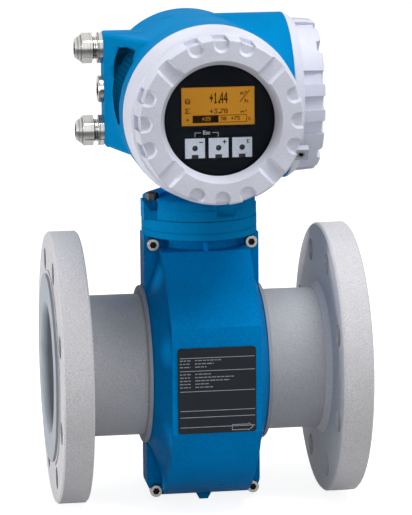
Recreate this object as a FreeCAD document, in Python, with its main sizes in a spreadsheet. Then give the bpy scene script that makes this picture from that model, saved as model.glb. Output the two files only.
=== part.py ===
"""Electromagnetic flow meter, DN 100, with a two-chamber transmitter on a cast sensor shell.

Frame: X runs along the pipe in the direction of flow, the display looks along -Y, Z is up,
and the origin is the middle of the measuring bore. Lengths are millimetres.
"""

import FreeCAD, Part
import math
import os
import Sketcher

V = FreeCAD.Vector

SIZES = {
    # measuring tube, liner and flanges
    "pipe_diameter": 114.3,
    "pipe_wall": 3.6,
    "liner_wall": 3.0,
    "liner_flare_thickness": 2.0,
    "liner_flare_diameter": 152.0,
    "liner_lip_radius": 5.5,
    "face_to_face": 250.0,
    "flange_diameter": 220.0,
    "flange_thickness": 24.0,
    "flange_chamfer": 1.5,
    "raised_face_diameter": 158.0,
    "raised_face_height": 1.0,
    "bolt_circle": 180.0,
    "bolt_hole_diameter": 18.0,
    "bolt_count": 8,
    "weld_leg": 5.0,
    # electrodes and field coils
    "electrode_head_radius": 5.0,
    "electrode_stem_radius": 3.0,
    "electrode_bush_wall": 2.0,
    "electrode_recess": 0.1,
    "electrode_length": 24.0,
    "electrode_nut_height": 5.0,
    "pole_shoe_thickness": 3.5,
    "pole_shoe_half_length": 26.0,
    "pole_shoe_half_width": 34.0,
    "pole_core_radius": 10.0,
    "coil_outer_radius": 26.0,
    "coil_room": 27.85,
    "yoke_thickness": 3.0,
    "yoke_half_width": 14.0,
    "magnet_gap": 0.3,
    # sensor shell, cast in a front and a back half
    "shell_half_width": 46.5,
    "shell_wall": 4.0,
    "pad_half_width": 35.5,
    "yoke_clearance": 1.5,
    "pad_upper_crease": 47.0,
    "pad_lower_crease": 38.2,
    "pad_rise": 8.0,
    "pad_top_depth": 40.0,
    "pad_fall": 14.5,
    "pad_foot_depth": 20.0,
    "pad_foot_bend": 150.0,
    "hub_face_margin": 4.85,
    "flange_plate_depth": 13.0,
    "rib_height": 9.3,
    "joint_plate_drop": 1.9,
    "shell_corner_radius": 11.0,
    "neck_outer_radius": 33.0,
    "neck_bore_radius": 27.0,
    "groove_rib_width": 3.0,
    "foot_lug_width": 15.0,
    "foot_lug_tip": 7.0,
    "foot_lug_height": 5.5,
    "foot_lug_depth": 12.0,
    "shell_screw_radius": 3.0,
    "shell_screw_inset": 6.7,
    "shell_screw_below_top": 6.9,
    "shell_screw_above_bottom": 4.5,
    "shell_screw_shortening": 2.0,
    "screw_fit": 0.15,
    "seal_wall": 2.2,
    "seal_lip": 3.0,
    "seal_lip_width": 6.85,
    # name plate
    "plate_width": 62.0,
    "plate_height": 68.5,
    "plate_thickness": 0.8,
    "plate_centre": 3.0,
    "plate_corner": 2.5,
    # neck between sensor and transmitter
    "ring_height": 14.7,
    "ring_groove_at": 5.4,
    "ring_groove": 0.8,
    "spigot_wall_thickness": 5.0,
    "spigot_setback": 7.5,
    "spigot_height": 8.0,
    "turning_gap": 0.4,
    "neck_seal_section": 1.5,
    # transmitter casting
    "base_setback": 0.2,
    "base_height": 14.6,
    "base_ledge": 0.9,
    "base_ledge_at": 8.4,
    "base_cone_height": 5.4,
    "base_shoulder": 16.4,
    "cable_passage_radius": 13.0,
    "barrel_rise": 90.1,
    "barrel_front": 74.2,
    "barrel_back": 78.0,
    "barrel_front_radius": 69.4,
    "barrel_back_radius": 68.3,
    "barrel_back_round": 7.0,
    "side_barrel_radius": 67.3,
    "side_barrel_axis": 30.0,
    "side_barrel_left": 34.0,
    "side_barrel_round": 20.0,
    "side_barrel_right": 73.3,
    "display_chamber_radius": 59.0,
    "display_chamber_depth": 43.0,
    "display_thread_wall": 3.0,
    "side_chamber_radius": 54.0,
    "side_chamber_left": 30.0,
    "side_thread_wall": 4.0,
    "thread_depth": 16.0,
    "thread_clearance": 0.3,
    "block_left": 73.0,
    "block_rise": 8.6,
    "block_depth": 28.0,
    "block_height": 92.0,
    "block_round": 3.0,
    "web_front": 54.0,
    "web_step": 0.25,
    "web_inset": 0.4,
    "web_pocket_height": 55.0,
    "web_pocket_below": 8.5,
    "web_pocket_slope": 8.6,
    "web_pocket_turn": 41.5,
    "web_pocket_bow": 66.0,
    "web_pocket_floor": 62.0,
    "web_pocket_margin": 5.0,
    "web_pocket_back": 12.5,
    "lock_pocket_width": 16.0,
    "lock_pocket_height": 9.0,
    "lock_pocket_depth": 7.0,
    # covers
    "spigot_wall": 5.0,
    "cover_spigot_depth": 14.0,
    "display_cover_height": 53.4,
    "display_skirt_height": 34.0,
    "display_ring_radius": 64.6,
    "display_rim_height": 3.0,
    "side_cover_height": 25.2,
    "side_skirt_height": 8.0,
    "side_ring_radius": 62.4,
    "side_rim_height": 1.5,
    "rim_setback": 0.2,
    "ring_taper": 1.3,
    "ring_chamfer": 1.2,
    "bevel_radius": 46.8,
    "window_radius": 42.5,
    "glass_radius": 50.0,
    "glass_fit": 0.2,
    "glass_ring_thickness": 2.5,
    "glass_ring_margin": 2.0,
    "glass_thickness": 6.0,
    "glass_below_face": 12.2,
    "scallop_width": 12.6,
    "scallop_reach": 12.0,
    "scallop_depth": 2.5,
    "scallop_slope": 2.1,
    "scallop_side_width": 10.8,
    "scallop_side_depth": 1.8,
    "scallop_spacing": 19.3,
    "channel_width": 15.0,
    "channel_floor": 9.0,
    "channel_depth": 4.0,
    "blind_recess": 4.2,
    "cover_seal_section": 1.25,
    "cover_seal_inset": 5.0,
    # display
    "display_radius": 53.0,
    "faceplate_radius": 49.5,
    "faceplate_thickness": 3.0,
    "display_air_gap": 1.0,
    "display_body_depth": 24.0,
    "display_body_setback": 3.0,
    "lcd_width": 56.4,
    "lcd_height": 29.4,
    "lcd_rise": 10.1,
    "lcd_recess": 1.0,
    "key_size": 15.2,
    "key_pitch": 18.2,
    "key_drop": 21.8,
    "key_thickness": 0.6,
    "key_window_radius": 2.2,
    "module_radius": 56.0,
    "module_depth": 30.0,
    # cable entries
    "entry_radius": 10.0,
    "entry_pitch": 33.3,
    "entry_clearance": 0.1,
    "gland_across_flats": 22.0,
    "gland_flange": 4.5,
    "gland_waist": 4.0,
    "gland_waist_radius": 8.8,
    "gland_thread_radius": 7.6,
    "gland_nut_length": 14.0,
    "gland_nut_hex": 8.0,
    "gland_nut_shoulder": 1.0,
    "gland_nut_lip": 2.0,
    "gland_hex_rounding": 1.12,
    "gland_bore_radius": 5.5,
    "gland_seal_bore": 4.0,
    "entry_thread": 12.0,
    "plug_head": 4.3,
    "plug_chamfer": 1.0,
    # cover clamp and lock screw
    "clamp_angle": 34.2,
    "clamp_clearance": 0.5,
    "clamp_height": 5.6,
    "clamp_thickness": 11.0,
    "clamp_hook": 11.0,
    "clamp_seat": 11.0,
    "clamp_foot": 14.0,
    "clamp_screw_radius": 2.0,
    "clamp_screw_setback": 6.0,
    "lock_lug_overhang": 1.7,
    "lock_lug_width": 18.0,
    "lock_lug_front": 27.0,
    "lock_lug_back": 6.0,
    "lock_slot_width": 6.0,
    "lock_slot_depth": 6.0,
    "lock_screw_radius": 3.0,
    "lock_screw_inset": 6.3,
    # terminals
    "carrier_depth": 20.0,
    "carrier_left": 26.0,
    "carrier_right": 52.0,
    "terminal_width": 44.0,
    "terminal_height": 62.0,
    "terminal_depth": 14.0,
    "terminal_screw_radius": 2.6,
    "terminal_count": 6,
}


class Size:
    """A size known both as a number and as the expression of the sheet that drives it."""

    def __init__(self, text, value):
        self.text = text
        self.value = value

    def joined(self, sign, other, value):
        return Size(f"({self.text} {sign} {as_size(other).text})", value)

    def __add__(self, other):
        return self.joined("+", other, self.value + as_size(other).value)

    def __sub__(self, other):
        return self.joined("-", other, self.value - as_size(other).value)

    def __rsub__(self, other):
        return as_size(other) - self

    def __mul__(self, other):
        return self.joined("*", other, self.value * as_size(other).value)

    def __truediv__(self, other):
        return self.joined("/", other, self.value / as_size(other).value)

    def __neg__(self):
        return Size(f"(0 - {self.text})", -self.value)

    __radd__ = __add__
    __rmul__ = __mul__


def as_size(number):
    return number if isinstance(number, Size) else Size(repr(float(number)), float(number))


def root(size):
    return Size(f"sqrt({size.text})", math.sqrt(size.value))


doc = FreeCAD.newDocument("electromagnetic_flow_meter")
sheet = doc.addObject("Spreadsheet::Sheet", "Sizes")
for row, (alias, number) in enumerate(SIZES.items(), start=1):
    sheet.set(f"A{row}", alias)
    sheet.set(f"B{row}", str(number))
    sheet.setAlias(f"B{row}", alias)
doc.recompute()


class Sheet:
    """Gives each alias of the sheet as a Size."""

    def __getattr__(self, alias):
        return Size(f"Sizes.{alias}", float(sheet.get(alias)))


s = Sheet()

DIRECTIONS = {"+x": V(1, 0, 0), "-x": V(-1, 0, 0), "+y": V(0, 1, 0), "-y": V(0, -1, 0),
              "+z": V(0, 0, 1), "-z": V(0, 0, -1)}
NODES = []


# ---------------------------------------------------------------- document helpers

def bind(thing, **sizes):
    for name, size in sizes.items():
        thing.setExpression(name, as_size(size).text)


def place(thing, direction, at):
    """Turn a thing's own Z to a direction and move its origin to a point."""
    turn = FreeCAD.Rotation(V(0, 0, 1), DIRECTIONS[direction])
    start = V(*[as_size(c).value for c in at])
    thing.Placement = FreeCAD.Placement(start, turn)
    for axis, coordinate in zip("xyz", at):
        thing.setExpression(f"Placement.Base.{axis}", as_size(coordinate).text)
    return thing


def node(thing, label):
    """Mark a thing as a finished sub-part."""
    thing.Label = label
    NODES.append(thing)
    return thing


def cylinder(name, radius, length, direction, at):
    solid = doc.addObject("Part::Cylinder", name)
    bind(solid, Radius=radius, Height=length)
    return place(solid, direction, at)


def cone(name, radius_start, radius_end, length, direction, at):
    solid = doc.addObject("Part::Cone", name)
    bind(solid, Radius1=radius_start, Radius2=radius_end, Height=length)
    return place(solid, direction, at)


def torus(name, ring_radius, section_radius, direction, at):
    solid = doc.addObject("Part::Torus", name)
    bind(solid, Radius1=ring_radius, Radius2=section_radius)
    return place(solid, direction, at)


def hexagon(name, across_flats, length, direction, at):
    solid = doc.addObject("Part::Prism", name)
    solid.Polygon = 6
    bind(solid, Circumradius=across_flats / math.sqrt(3), Height=length)
    return place(solid, direction, at)


def box(name, low, high):
    solid = doc.addObject("Part::Box", name)
    span = [as_size(b) - as_size(a) for a, b in zip(low, high)]
    bind(solid, Length=span[0], Width=span[1], Height=span[2])
    return place(solid, "+z", low)


def fuse(name, *solids):
    joined = doc.addObject("Part::MultiFuse", name)
    joined.Shapes = list(solids)
    joined.Refine = False
    return joined


def common(name, *solids):
    shared = doc.addObject("Part::MultiCommon", name)
    shared.Shapes = list(solids)
    shared.Refine = True
    return shared


def cut(name, base, *tools):
    remainder = doc.addObject("Part::Cut", name)
    remainder.Base = base
    remainder.Tool = tools[0] if len(tools) == 1 else fuse(name + "_tools", *tools)
    remainder.Refine = True
    return remainder


def group(name, *solids):
    together = doc.addObject("Part::Compound", name)
    together.Links = list(solids)
    return together


# ---------------------------------------------------------------- sketch helpers

def plane_of(body, role):
    return next(p for p in body.Origin.OriginFeatures if p.Role == role)


def new_sketch(body, name, role, lift=None, turn_axis=None, turn=None):
    """A sketch on an origin plane, lifted along its normal and turned by an angle."""
    sketch = body.newObject("Sketcher::SketchObject", name)
    sketch.AttachmentSupport = [(plane_of(body, role), "")]
    sketch.MapMode = "FlatFace"
    if turn is not None:
        turn = as_size(turn)
        rotation = FreeCAD.Rotation(turn_axis, turn.value)
        sketch.AttachmentOffset = FreeCAD.Placement(V(0, 0, 0), rotation)
        sketch.setExpression("AttachmentOffset.Rotation.Angle", turn.text)
    if lift is not None:
        sketch.setExpression("AttachmentOffset.Base.z", as_size(lift).text)
    return sketch


def pin(sketch, kind, geometry, end, size):
    """Hold one coordinate of a point at a size measured from the sketch's origin."""
    if not isinstance(size, Size) and size == 0:
        sketch.addConstraint(Sketcher.Constraint("PointOnObject", geometry, end,
                                                 -2 if kind == "DistanceX" else -1))
        return
    size = as_size(size)
    index = sketch.addConstraint(Sketcher.Constraint(kind, -1, 1, geometry, end, size.value))
    sketch.setExpression(f"Constraints[{index}]", size.text)


def bowed(start, end, radius, side):
    """Arc from start to end; side +1 bows to the left of the way, -1 to the right."""
    chord = end - start
    middle = (start + end) / 2
    left = V(-chord.y, chord.x, 0).normalize()
    sagitta = radius - math.sqrt(radius ** 2 - (chord.Length / 2) ** 2)
    return Part.Arc(start, middle + left * sagitta * side, end)


def draw(sketch, points):
    """Closed outline. A point is (across, up), or (across, up, radius, side) before an arc."""
    count = len(points)
    corners = [V(as_size(p[0]).value, as_size(p[1]).value, 0) for p in points]
    starts = []
    for i, point in enumerate(points):
        start, end = corners[i], corners[(i + 1) % count]
        if len(point) == 2:
            sketch.addGeometry(Part.LineSegment(start, end))
            starts.append((1, 2))
        else:
            arc = bowed(start, end, as_size(point[2]).value, point[3])
            geometry = sketch.addGeometry(arc)
            starts_first = sketch.getPoint(geometry, 1).distanceToPoint(start) < 1e-6
            starts.append((1, 2) if starts_first else (2, 1))
    for i in range(count):
        following = (i + 1) % count
        sketch.addConstraint(Sketcher.Constraint("Coincident", i, starts[i][1],
                                                 following, starts[following][0]))
    for i, point in enumerate(points):
        pin(sketch, "DistanceX", i, starts[i][0], point[0])
        pin(sketch, "DistanceY", i, starts[i][0], point[1])
        if len(point) == 4:
            radius = as_size(point[2])
            index = sketch.addConstraint(Sketcher.Constraint("Radius", i, radius.value))
            sketch.setExpression(f"Constraints[{index}]", radius.text)
    return sketch


def draw_circle(sketch, across, up, radius):
    centre = V(as_size(across).value, as_size(up).value, 0)
    geometry = sketch.addGeometry(Part.Circle(centre, V(0, 0, 1), as_size(radius).value))
    pin(sketch, "DistanceX", geometry, 3, across)
    pin(sketch, "DistanceY", geometry, 3, up)
    index = sketch.addConstraint(Sketcher.Constraint("Radius", geometry, as_size(radius).value))
    sketch.setExpression(f"Constraints[{index}]", as_size(radius).text)
    return sketch


def turned(name, points, direction="+z", at=(0, 0, 0)):
    """A body of revolution: points are (radius, height) along its own Z."""
    body = doc.addObject("PartDesign::Body", name)
    sketch = draw(new_sketch(body, name + "_profile", "XZ_Plane"), points)
    spin = body.newObject("PartDesign::Revolution", name + "_turning")
    spin.Profile = sketch
    spin.ReferenceAxis = (sketch, ["V_Axis"])
    doc.recompute()
    return place(body, direction, at)


def plate(name, role, points, length):
    """A body padded both ways from an origin plane."""
    body = doc.addObject("PartDesign::Body", name)
    sketch = draw(new_sketch(body, name + "_outline", role), points)
    pad = body.newObject("PartDesign::Pad", name + "_pad")
    pad.Profile = sketch
    pad.SideType = "Symmetric"
    bind(pad, Length=length)
    doc.recompute()
    return body


def pocket(body, name, sketch, depth, both_ways=False):
    before = body.Shape.Volume
    feature = body.newObject("PartDesign::Pocket", name)
    feature.Profile = sketch
    if both_ways:
        feature.SideType = "Symmetric"
    bind(feature, Length=depth)
    doc.recompute()
    if body.Shape.Volume > before - 1e-3:
        raise ValueError(f"{name} removes nothing")
    return feature


def repeat(body, name, features, count):
    """Copies of features in equal steps round the body's own Z."""
    pattern = body.newObject("PartDesign::PolarPattern", name)
    pattern.Originals = features
    pattern.Axis = (next(a for a in body.Origin.OriginFeatures if a.Role == "Z_Axis"), [""])
    pattern.Angle = 360
    bind(pattern, Occurrences=count)
    body.Tip = pattern
    doc.recompute()
    return pattern


def soften(body, name, kind, size, wanted):
    """Fillet or chamfer the edges of a body that a test picks by their middle point."""
    base = body.Tip
    edges = [f"Edge{i}" for i, edge in enumerate(base.Shape.Edges, start=1)
             if wanted(edge.valueAt((edge.FirstParameter + edge.LastParameter) / 2), edge)]
    feature = body.newObject("PartDesign::" + kind, name)
    feature.Base = (base, edges)
    bind(feature, **{"Radius" if kind == "Fillet" else "Size": size})
    doc.recompute()
    return feature


# ---------------------------------------------------------------- measuring tube

pipe_radius = s.pipe_diameter / 2
tube_bore = pipe_radius - s.pipe_wall
liner_bore = tube_bore - s.liner_wall
half_length = s.face_to_face / 2
MARGIN = 1
steel_face = half_length - s.liner_flare_thickness
flange_back = steel_face - s.raised_face_height - s.flange_thickness
yoke_radius = pipe_radius + s.coil_room
pad_front = yoke_radius + s.yoke_clearance + s.shell_wall
pad_top_height = pad_front + s.pad_rise
pad_foot_height = pad_front + s.pad_fall
shell_top = pad_top_height + s.rib_height
shell_bottom = pad_foot_height + s.joint_plate_drop


def electrode_drill(name, radius):
    return cylinder(name, radius, pipe_radius * 4, "+y", (0, -pipe_radius * 2, 0))


def measuring_tube():
    tube = turned("tube_blank", [(tube_bore, -steel_face), (pipe_radius, -steel_face),
                                 (pipe_radius, steel_face), (tube_bore, steel_face)], "+x")
    drill = electrode_drill("tube_drill", s.electrode_stem_radius + s.electrode_bush_wall)
    node(cut("measuring_tube_cut", tube, drill), "measuring_tube")


def flange(label, direction, sign):
    """Flat flange with a raised face, welded to the tube on its inner side."""
    outer = s.flange_diameter / 2
    edge = s.flange_chamfer
    thick = s.flange_thickness
    face = thick + s.raised_face_height
    raised = s.raised_face_diameter / 2
    body = turned(label, [(pipe_radius, -s.weld_leg), (pipe_radius + s.weld_leg, 0), (outer - edge, 0),
                          (outer, edge), (outer, thick - edge), (outer - edge, thick), (raised, thick),
                          (raised, face), (pipe_radius, face)],
                  direction, (flange_back * sign, 0, 0))
    sketch = new_sketch(body, label + "_hole", "XY_Plane", turn_axis=V(0, 0, 1), turn=180 / s.bolt_count.value)
    sketch.setExpression("AttachmentOffset.Rotation.Angle", "180 / Sizes.bolt_count")
    draw_circle(sketch, s.bolt_circle / 2, 0, s.bolt_hole_diameter / 2)
    hole = pocket(body, label + "_bolt_hole", sketch, thick * 3, both_ways=True)
    repeat(body, label + "_bolt_holes", [hole], s.bolt_count)
    node(body, label)


def tube_liner():
    """Straight sleeve inside the tube."""
    mouth = half_length - s.liner_lip_radius
    liner = turned("liner_blank", [(liner_bore, -mouth), (tube_bore, -mouth), (tube_bore, mouth),
                                   (liner_bore, mouth)], "+x")
    drill = electrode_drill("liner_drill", s.electrode_head_radius)
    node(cut("tube_liner_cut", liner, drill), "tube_liner")


def liner_face(label, direction, sign):
    """Flare of the liner over a raised face, with a rounded lip at the mouth."""
    flare = s.liner_flare_diameter / 2
    lip = s.liner_lip_radius
    thick = s.liner_flare_thickness
    node(turned(label, [(liner_bore, -lip), (tube_bore, -lip), (tube_bore, -thick), (flare, -thick),
                        (flare, 0), (liner_bore + lip, 0, lip, -1)],
                direction, (half_length * sign, 0, 0)), label)


def electrode(side, direction):
    """Measuring electrode, its insulating bush and its clamping nut."""
    sign = -1 if direction == "-y" else 1
    start = liner_bore + s.electrode_recess
    head = tube_bore - start
    at = (0, start * sign, 0)
    pin_body = turned(side + "_electrode", [
        (0, 0), (s.electrode_head_radius, 0), (s.electrode_head_radius, head),
        (s.electrode_stem_radius, head), (s.electrode_stem_radius, s.electrode_length),
        (0, s.electrode_length)], direction, at)
    node(pin_body, side + "_electrode")
    bush_end = s.pipe_wall + 2 * s.electrode_bush_wall
    bush_outer = s.electrode_stem_radius + s.electrode_bush_wall
    shoulder = s.pipe_wall + s.electrode_bush_wall
    wide = bush_outer + s.electrode_bush_wall
    bush = turned(side + "_electrode_bush", [
        (s.electrode_stem_radius, 0), (bush_outer, 0), (bush_outer, shoulder), (wide, shoulder),
        (wide, bush_end), (s.electrode_stem_radius, bush_end)], direction, (0, tube_bore * sign, 0))
    node(bush, side + "_electrode_bush")
    seat = (0, (tube_bore + bush_end) * sign, 0)
    blank = hexagon(side + "_nut_blank", wide * 2, s.electrode_nut_height, direction, seat)
    bore = cylinder(side + "_nut_bore", s.electrode_stem_radius, s.electrode_nut_height, direction, seat)
    node(cut(side + "_nut_cut", blank, bore), side + "_electrode_nut")


# ---------------------------------------------------------------- field coils

def magnet(side, direction):
    """Pole shoe with its core, and the coil wound round the core."""
    sign = 1 if direction == "+z" else -1
    inner = pipe_radius + s.magnet_gap
    outer = inner + s.pole_shoe_thickness
    core_end = yoke_radius - s.yoke_thickness
    length = s.pole_shoe_half_length
    blank = cylinder(side + "_shoe_blank", outer, length * 2, "+x", (-length, 0, 0))
    hollow = cylinder(side + "_shoe_hollow", inner, length * 4, "+x", (-length * 2, 0, 0))
    low = pipe_radius / 2 if sign > 0 else -outer
    high = outer if sign > 0 else -pipe_radius / 2
    sector = box(side + "_shoe_sector", (-length, -s.pole_shoe_half_width, low),
                 (length, s.pole_shoe_half_width, high))
    curved = cut(side + "_shoe_cut", common(side + "_shoe_arc", blank, sector), hollow)
    core_start = inner + s.pole_shoe_thickness / 2
    core = cylinder(side + "_core", s.pole_core_radius, core_end - core_start, direction,
                    (0, 0, core_start * sign))
    core_face = cylinder(side + "_yoke_face", core_end, length, "+x", (-length / 2, 0, 0))
    core = common(side + "_core_end", core, core_face)
    node(fuse(side + "_pole_joined", curved, core), side + "_pole")
    height = root(core_end * core_end - s.coil_outer_radius * s.coil_outer_radius) - outer - s.magnet_gap * 2
    coil = turned(side + "_coil", [
        (s.pole_core_radius + s.magnet_gap, 0), (s.coil_outer_radius, 0),
        (s.coil_outer_radius, height), (s.pole_core_radius + s.magnet_gap, height)],
        direction, (0, 0, (outer + s.magnet_gap) * sign))
    node(coil, side + "_coil")


def field_yoke():
    """Steel band that carries the field from one pole to the other."""
    inner = yoke_radius - s.yoke_thickness
    half = s.yoke_half_width
    node(turned("field_yoke", [(inner, -half), (yoke_radius, -half), (yoke_radius, half),
                               (inner, half)], "+x"), "field_yoke")


# ---------------------------------------------------------------- sensor shell

def shell_side(name, inset, half_width):
    """The shell's outline seen from the pipe's end, carried across its width."""
    front = pad_front - inset
    top = pad_top_height - inset
    foot = pad_foot_height - inset
    foot_depth = s.pad_foot_depth
    bend = s.pad_foot_bend
    upper, lower = s.pad_upper_crease, -s.pad_lower_crease
    back_points = [(s.pad_top_depth - inset, top), (front, upper), (front, lower, bend, 1)]
    return plate(name, "YZ_Plane", [
        (-foot_depth, -foot, bend, 1), (-front, lower), (-front, upper), (-(s.pad_top_depth - inset), top),
        *back_points, (foot_depth, -foot)], half_width * 2)


def shell_hub(name, inset):
    """Wide middle of the shell round the pipe, with walls that slope in to the pad."""
    face = s.shell_half_width - inset
    edge = s.pad_half_width - inset
    small = pipe_radius + s.hub_face_margin
    large = pad_front - inset
    hub = turned(name + "_cone", [(0, -face), (small, -face), (large, -edge), (large, edge),
                                  (small, face), (0, face)], "+x")
    return common(name, hub, shell_side(name + "_side", inset, face))


def shell_plate():
    """Flange along the joint of the halves, rounded at its lower corners."""
    wide, depth = s.shell_half_width, s.flange_plate_depth
    body = doc.addObject("PartDesign::Body", "joint_plate")
    sketch = new_sketch(body, "joint_plate_outline", "XZ_Plane")
    draw(sketch, [(-wide, -shell_bottom), (wide, -shell_bottom), (wide, shell_top),
                  (-wide, shell_top)])
    pad = body.newObject("PartDesign::Pad", "joint_plate_pad")
    pad.Profile = sketch
    pad.SideType = "Symmetric"
    bind(pad, Length=depth * 2)
    doc.recompute()
    soften(body, "joint_plate_corners", "Fillet", s.shell_corner_radius,
           lambda p, edge: abs(abs(p.x) - wide.value) < 0.01 and abs(p.z + shell_bottom.value) < 0.01)
    return body


def foot_lug():
    """Small cast lug under the shell."""
    top = -pad_foot_height
    tip = -shell_bottom - s.foot_lug_height
    half, narrow = s.foot_lug_width / 2, s.foot_lug_tip / 2
    return plate("foot_lug", "XZ_Plane", [(-narrow, tip), (narrow, tip), (half, top), (-half, top)],
                 s.foot_lug_depth * 2)


def screw_places():
    """Middle points, as (x, z), of the four screws that hold the halves together."""
    half = s.shell_half_width - s.shell_screw_inset
    high = shell_top - s.shell_screw_below_top
    low = s.shell_screw_above_bottom - shell_bottom
    return [("upper_left", -half, high), ("upper_right", half, high),
            ("lower_left", -half, low), ("lower_right", half, low)]


def shell_castings():
    """Both half shells: one hollow casting, split where the halves meet."""
    wall = s.shell_wall
    slab = shell_side("pad_slab", 0, s.pad_half_width)
    hub = shell_hub("hub", 0)
    neck = cylinder("shell_neck", s.neck_outer_radius, shell_top - pad_top_height + wall, "+z",
                    (0, 0, pad_top_height - wall))
    rib = box("groove_rib", (-s.groove_rib_width / 2, -s.pad_top_depth, pad_top_height - s.shell_wall),
              (s.groove_rib_width / 2, s.pad_top_depth, shell_top))
    outside = fuse("shell_outside", slab, hub, shell_plate(), neck, rib, foot_lug())
    room = fuse("shell_room", shell_side("slab_room", wall, s.pad_half_width - wall),
                shell_hub("hub_room", wall))
    neck_bore = cylinder("shell_neck_bore", s.neck_bore_radius, shell_top, "+z", (0, 0, 0))
    tube_hole = cylinder("shell_tube_hole", pipe_radius + s.seal_wall, s.shell_half_width * 4, "+x",
                         (-s.shell_half_width * 2, 0, 0))
    drills = [cylinder(f"{name}_shell_hole", s.shell_screw_radius + s.screw_fit,
                       s.flange_plate_depth * 2, "+y", (x, -s.flange_plate_depth, z))
              for name, x, z in screw_places()]
    recesses = [cylinder(f"{name}_head_recess", head_radius(s.shell_screw_radius) + s.screw_fit,
                         s.flange_plate_depth, "-y", (x, -s.flange_plate_depth, z))
                for name, x, z in screw_places()]
    whole = cut("shell_whole", outside, room, neck_bore, tube_hole, *drills, *recesses)
    reach = pad_front + MARGIN
    low, high = -shell_bottom * 2, shell_top * 2
    wide = s.shell_half_width * 2
    front = box("front_side", (-wide, -reach, low), (wide, 0, high))
    back = box("back_side", (-wide, 0, low), (wide, reach, high))
    node(common("front_half", whole, front), "front_shell")
    node(common("back_half", whole, back), "back_shell")


def head_radius(radius):
    """Radius of a cap screw's head."""
    return radius * 5 / 3


def socket_screw(name, radius, length, direction, at):
    """Cap screw with a hexagon socket; its head's seat is at the point."""
    head = head_radius(radius)
    head_height = radius * 2
    key = radius * 5 / 3
    depth = radius
    away = {"-y": (0, 1, 0), "+y": (0, -1, 0), "+x": (-1, 0, 0), "-x": (1, 0, 0), "+z": (0, 0, -1)}[direction]
    back = tuple(c + length * step for c, step in zip(at, away))
    stem = turned(name + "_stem", [(0, 0), (radius, 0), (radius, length), (head, length),
                                   (head, length + head_height - radius / 8),
                                   (head - radius / 8, length + head_height),
                                   (0, length + head_height)], direction, back)
    socket_at = tuple(c - (head_height - depth) * step for c, step in zip(at, away))
    socket = hexagon(name + "_socket", key, depth * 2, direction, socket_at)
    return cut(name, stem, socket)


def shell_screws():
    length = s.flange_plate_depth * 2 - s.shell_screw_shortening
    screws = [socket_screw(f"{name}_shell_screw", s.shell_screw_radius, length, "-y",
                           (x, -s.flange_plate_depth, z)) for name, x, z in screw_places()]
    node(group("screw_set", *screws), "shell_screws")


def tube_seal(label, direction, sign):
    """Ring that closes the gap where the tube leaves the shell."""
    face = s.shell_half_width
    inner, outer = pipe_radius, pipe_radius + s.seal_wall
    lip = pipe_radius + s.seal_lip_width
    depth = s.shell_wall
    node(turned(label, [(inner, -depth), (outer, -depth), (outer, 0), (lip, 0), (lip, s.seal_lip * 2 / 3),
                        (lip - s.seal_lip / 3, s.seal_lip), (inner, s.seal_lip)],
                direction, (face * sign, 0, 0)), label)


def nameplate():
    """Bare plate on the flat of the front pad."""
    half, low = s.plate_width / 2, -s.plate_centre - s.plate_height / 2
    body = doc.addObject("PartDesign::Body", "nameplate")
    sketch = new_sketch(body, "nameplate_outline", "XZ_Plane", pad_front)
    draw(sketch, [(-half, low), (half, low), (half, low + s.plate_height), (-half, low + s.plate_height)])
    pad = body.newObject("PartDesign::Pad", "nameplate_pad")
    pad.Profile = sketch
    bind(pad, Length=s.plate_thickness)
    doc.recompute()
    soften(body, "nameplate_corners", "Fillet", s.plate_corner,
           lambda p, edge: edge.Length < s.plate_thickness.value + 0.01)
    node(body, "nameplate")


# ---------------------------------------------------------------- neck

ring_top = shell_top + s.ring_height
ring_radius = s.shell_half_width
spigot_radius = ring_radius - s.spigot_setback


def neck_ring():
    """Turning seat of the transmitter: a ring with a spigot and a seal groove."""
    outer, bore = ring_radius, spigot_radius - s.spigot_wall_thickness
    height, groove = s.ring_height, s.ring_groove
    mark = s.ring_groove_at
    top = height + s.spigot_height
    middle = height + s.spigot_height / 2
    section = s.neck_seal_section
    node(turned("neck_ring", [
        (bore, 0), (outer, 0), (outer, mark - groove), (outer - groove, mark), (outer, mark + groove),
        (outer, height), (spigot_radius, height), (spigot_radius, middle - section),
        (spigot_radius - section * 2, middle - section), (spigot_radius - section * 2, middle + section),
        (spigot_radius, middle + section), (spigot_radius, top), (bore, top)],
        "+z", (0, 0, shell_top)), "neck_ring")
    seal = torus("turning_seal", spigot_radius - section + s.turning_gap / 2, section, "+z",
                 (0, 0, shell_top + middle))
    node(seal, "neck_seal")


# ---------------------------------------------------------------- transmitter casting

base_bottom = ring_top + s.turning_gap
base_radius = ring_radius - s.base_setback
barrel_height = base_bottom + s.barrel_rise
block_centre = barrel_height + s.block_rise
display_spigot = s.display_chamber_radius + s.display_thread_wall
side_spigot = s.side_chamber_radius + s.side_thread_wall


def entry_heights():
    return [("lower", block_centre - s.entry_pitch), ("middle", block_centre),
            ("upper", block_centre + s.entry_pitch)]


def barrel_blank():
    length = s.barrel_front + s.barrel_back
    bend = s.barrel_back_round
    back = s.barrel_back_radius
    return turned("barrel_blank", [
        (0, 0), (back - bend, 0, bend, -1), (back, bend), (s.barrel_front_radius, length), (0, length)],
        "-y", (0, s.barrel_back, barrel_height))


def side_barrel_blank():
    radius, bend = s.side_barrel_radius, s.side_barrel_round
    length = s.side_barrel_left + s.side_barrel_right
    return turned("side_barrel_blank", [
        (0, 0), (radius - bend, 0, bend, -1), (radius, bend), (radius, length), (0, length)],
        "+x", (-s.side_barrel_left, s.side_barrel_axis, barrel_height))


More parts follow.
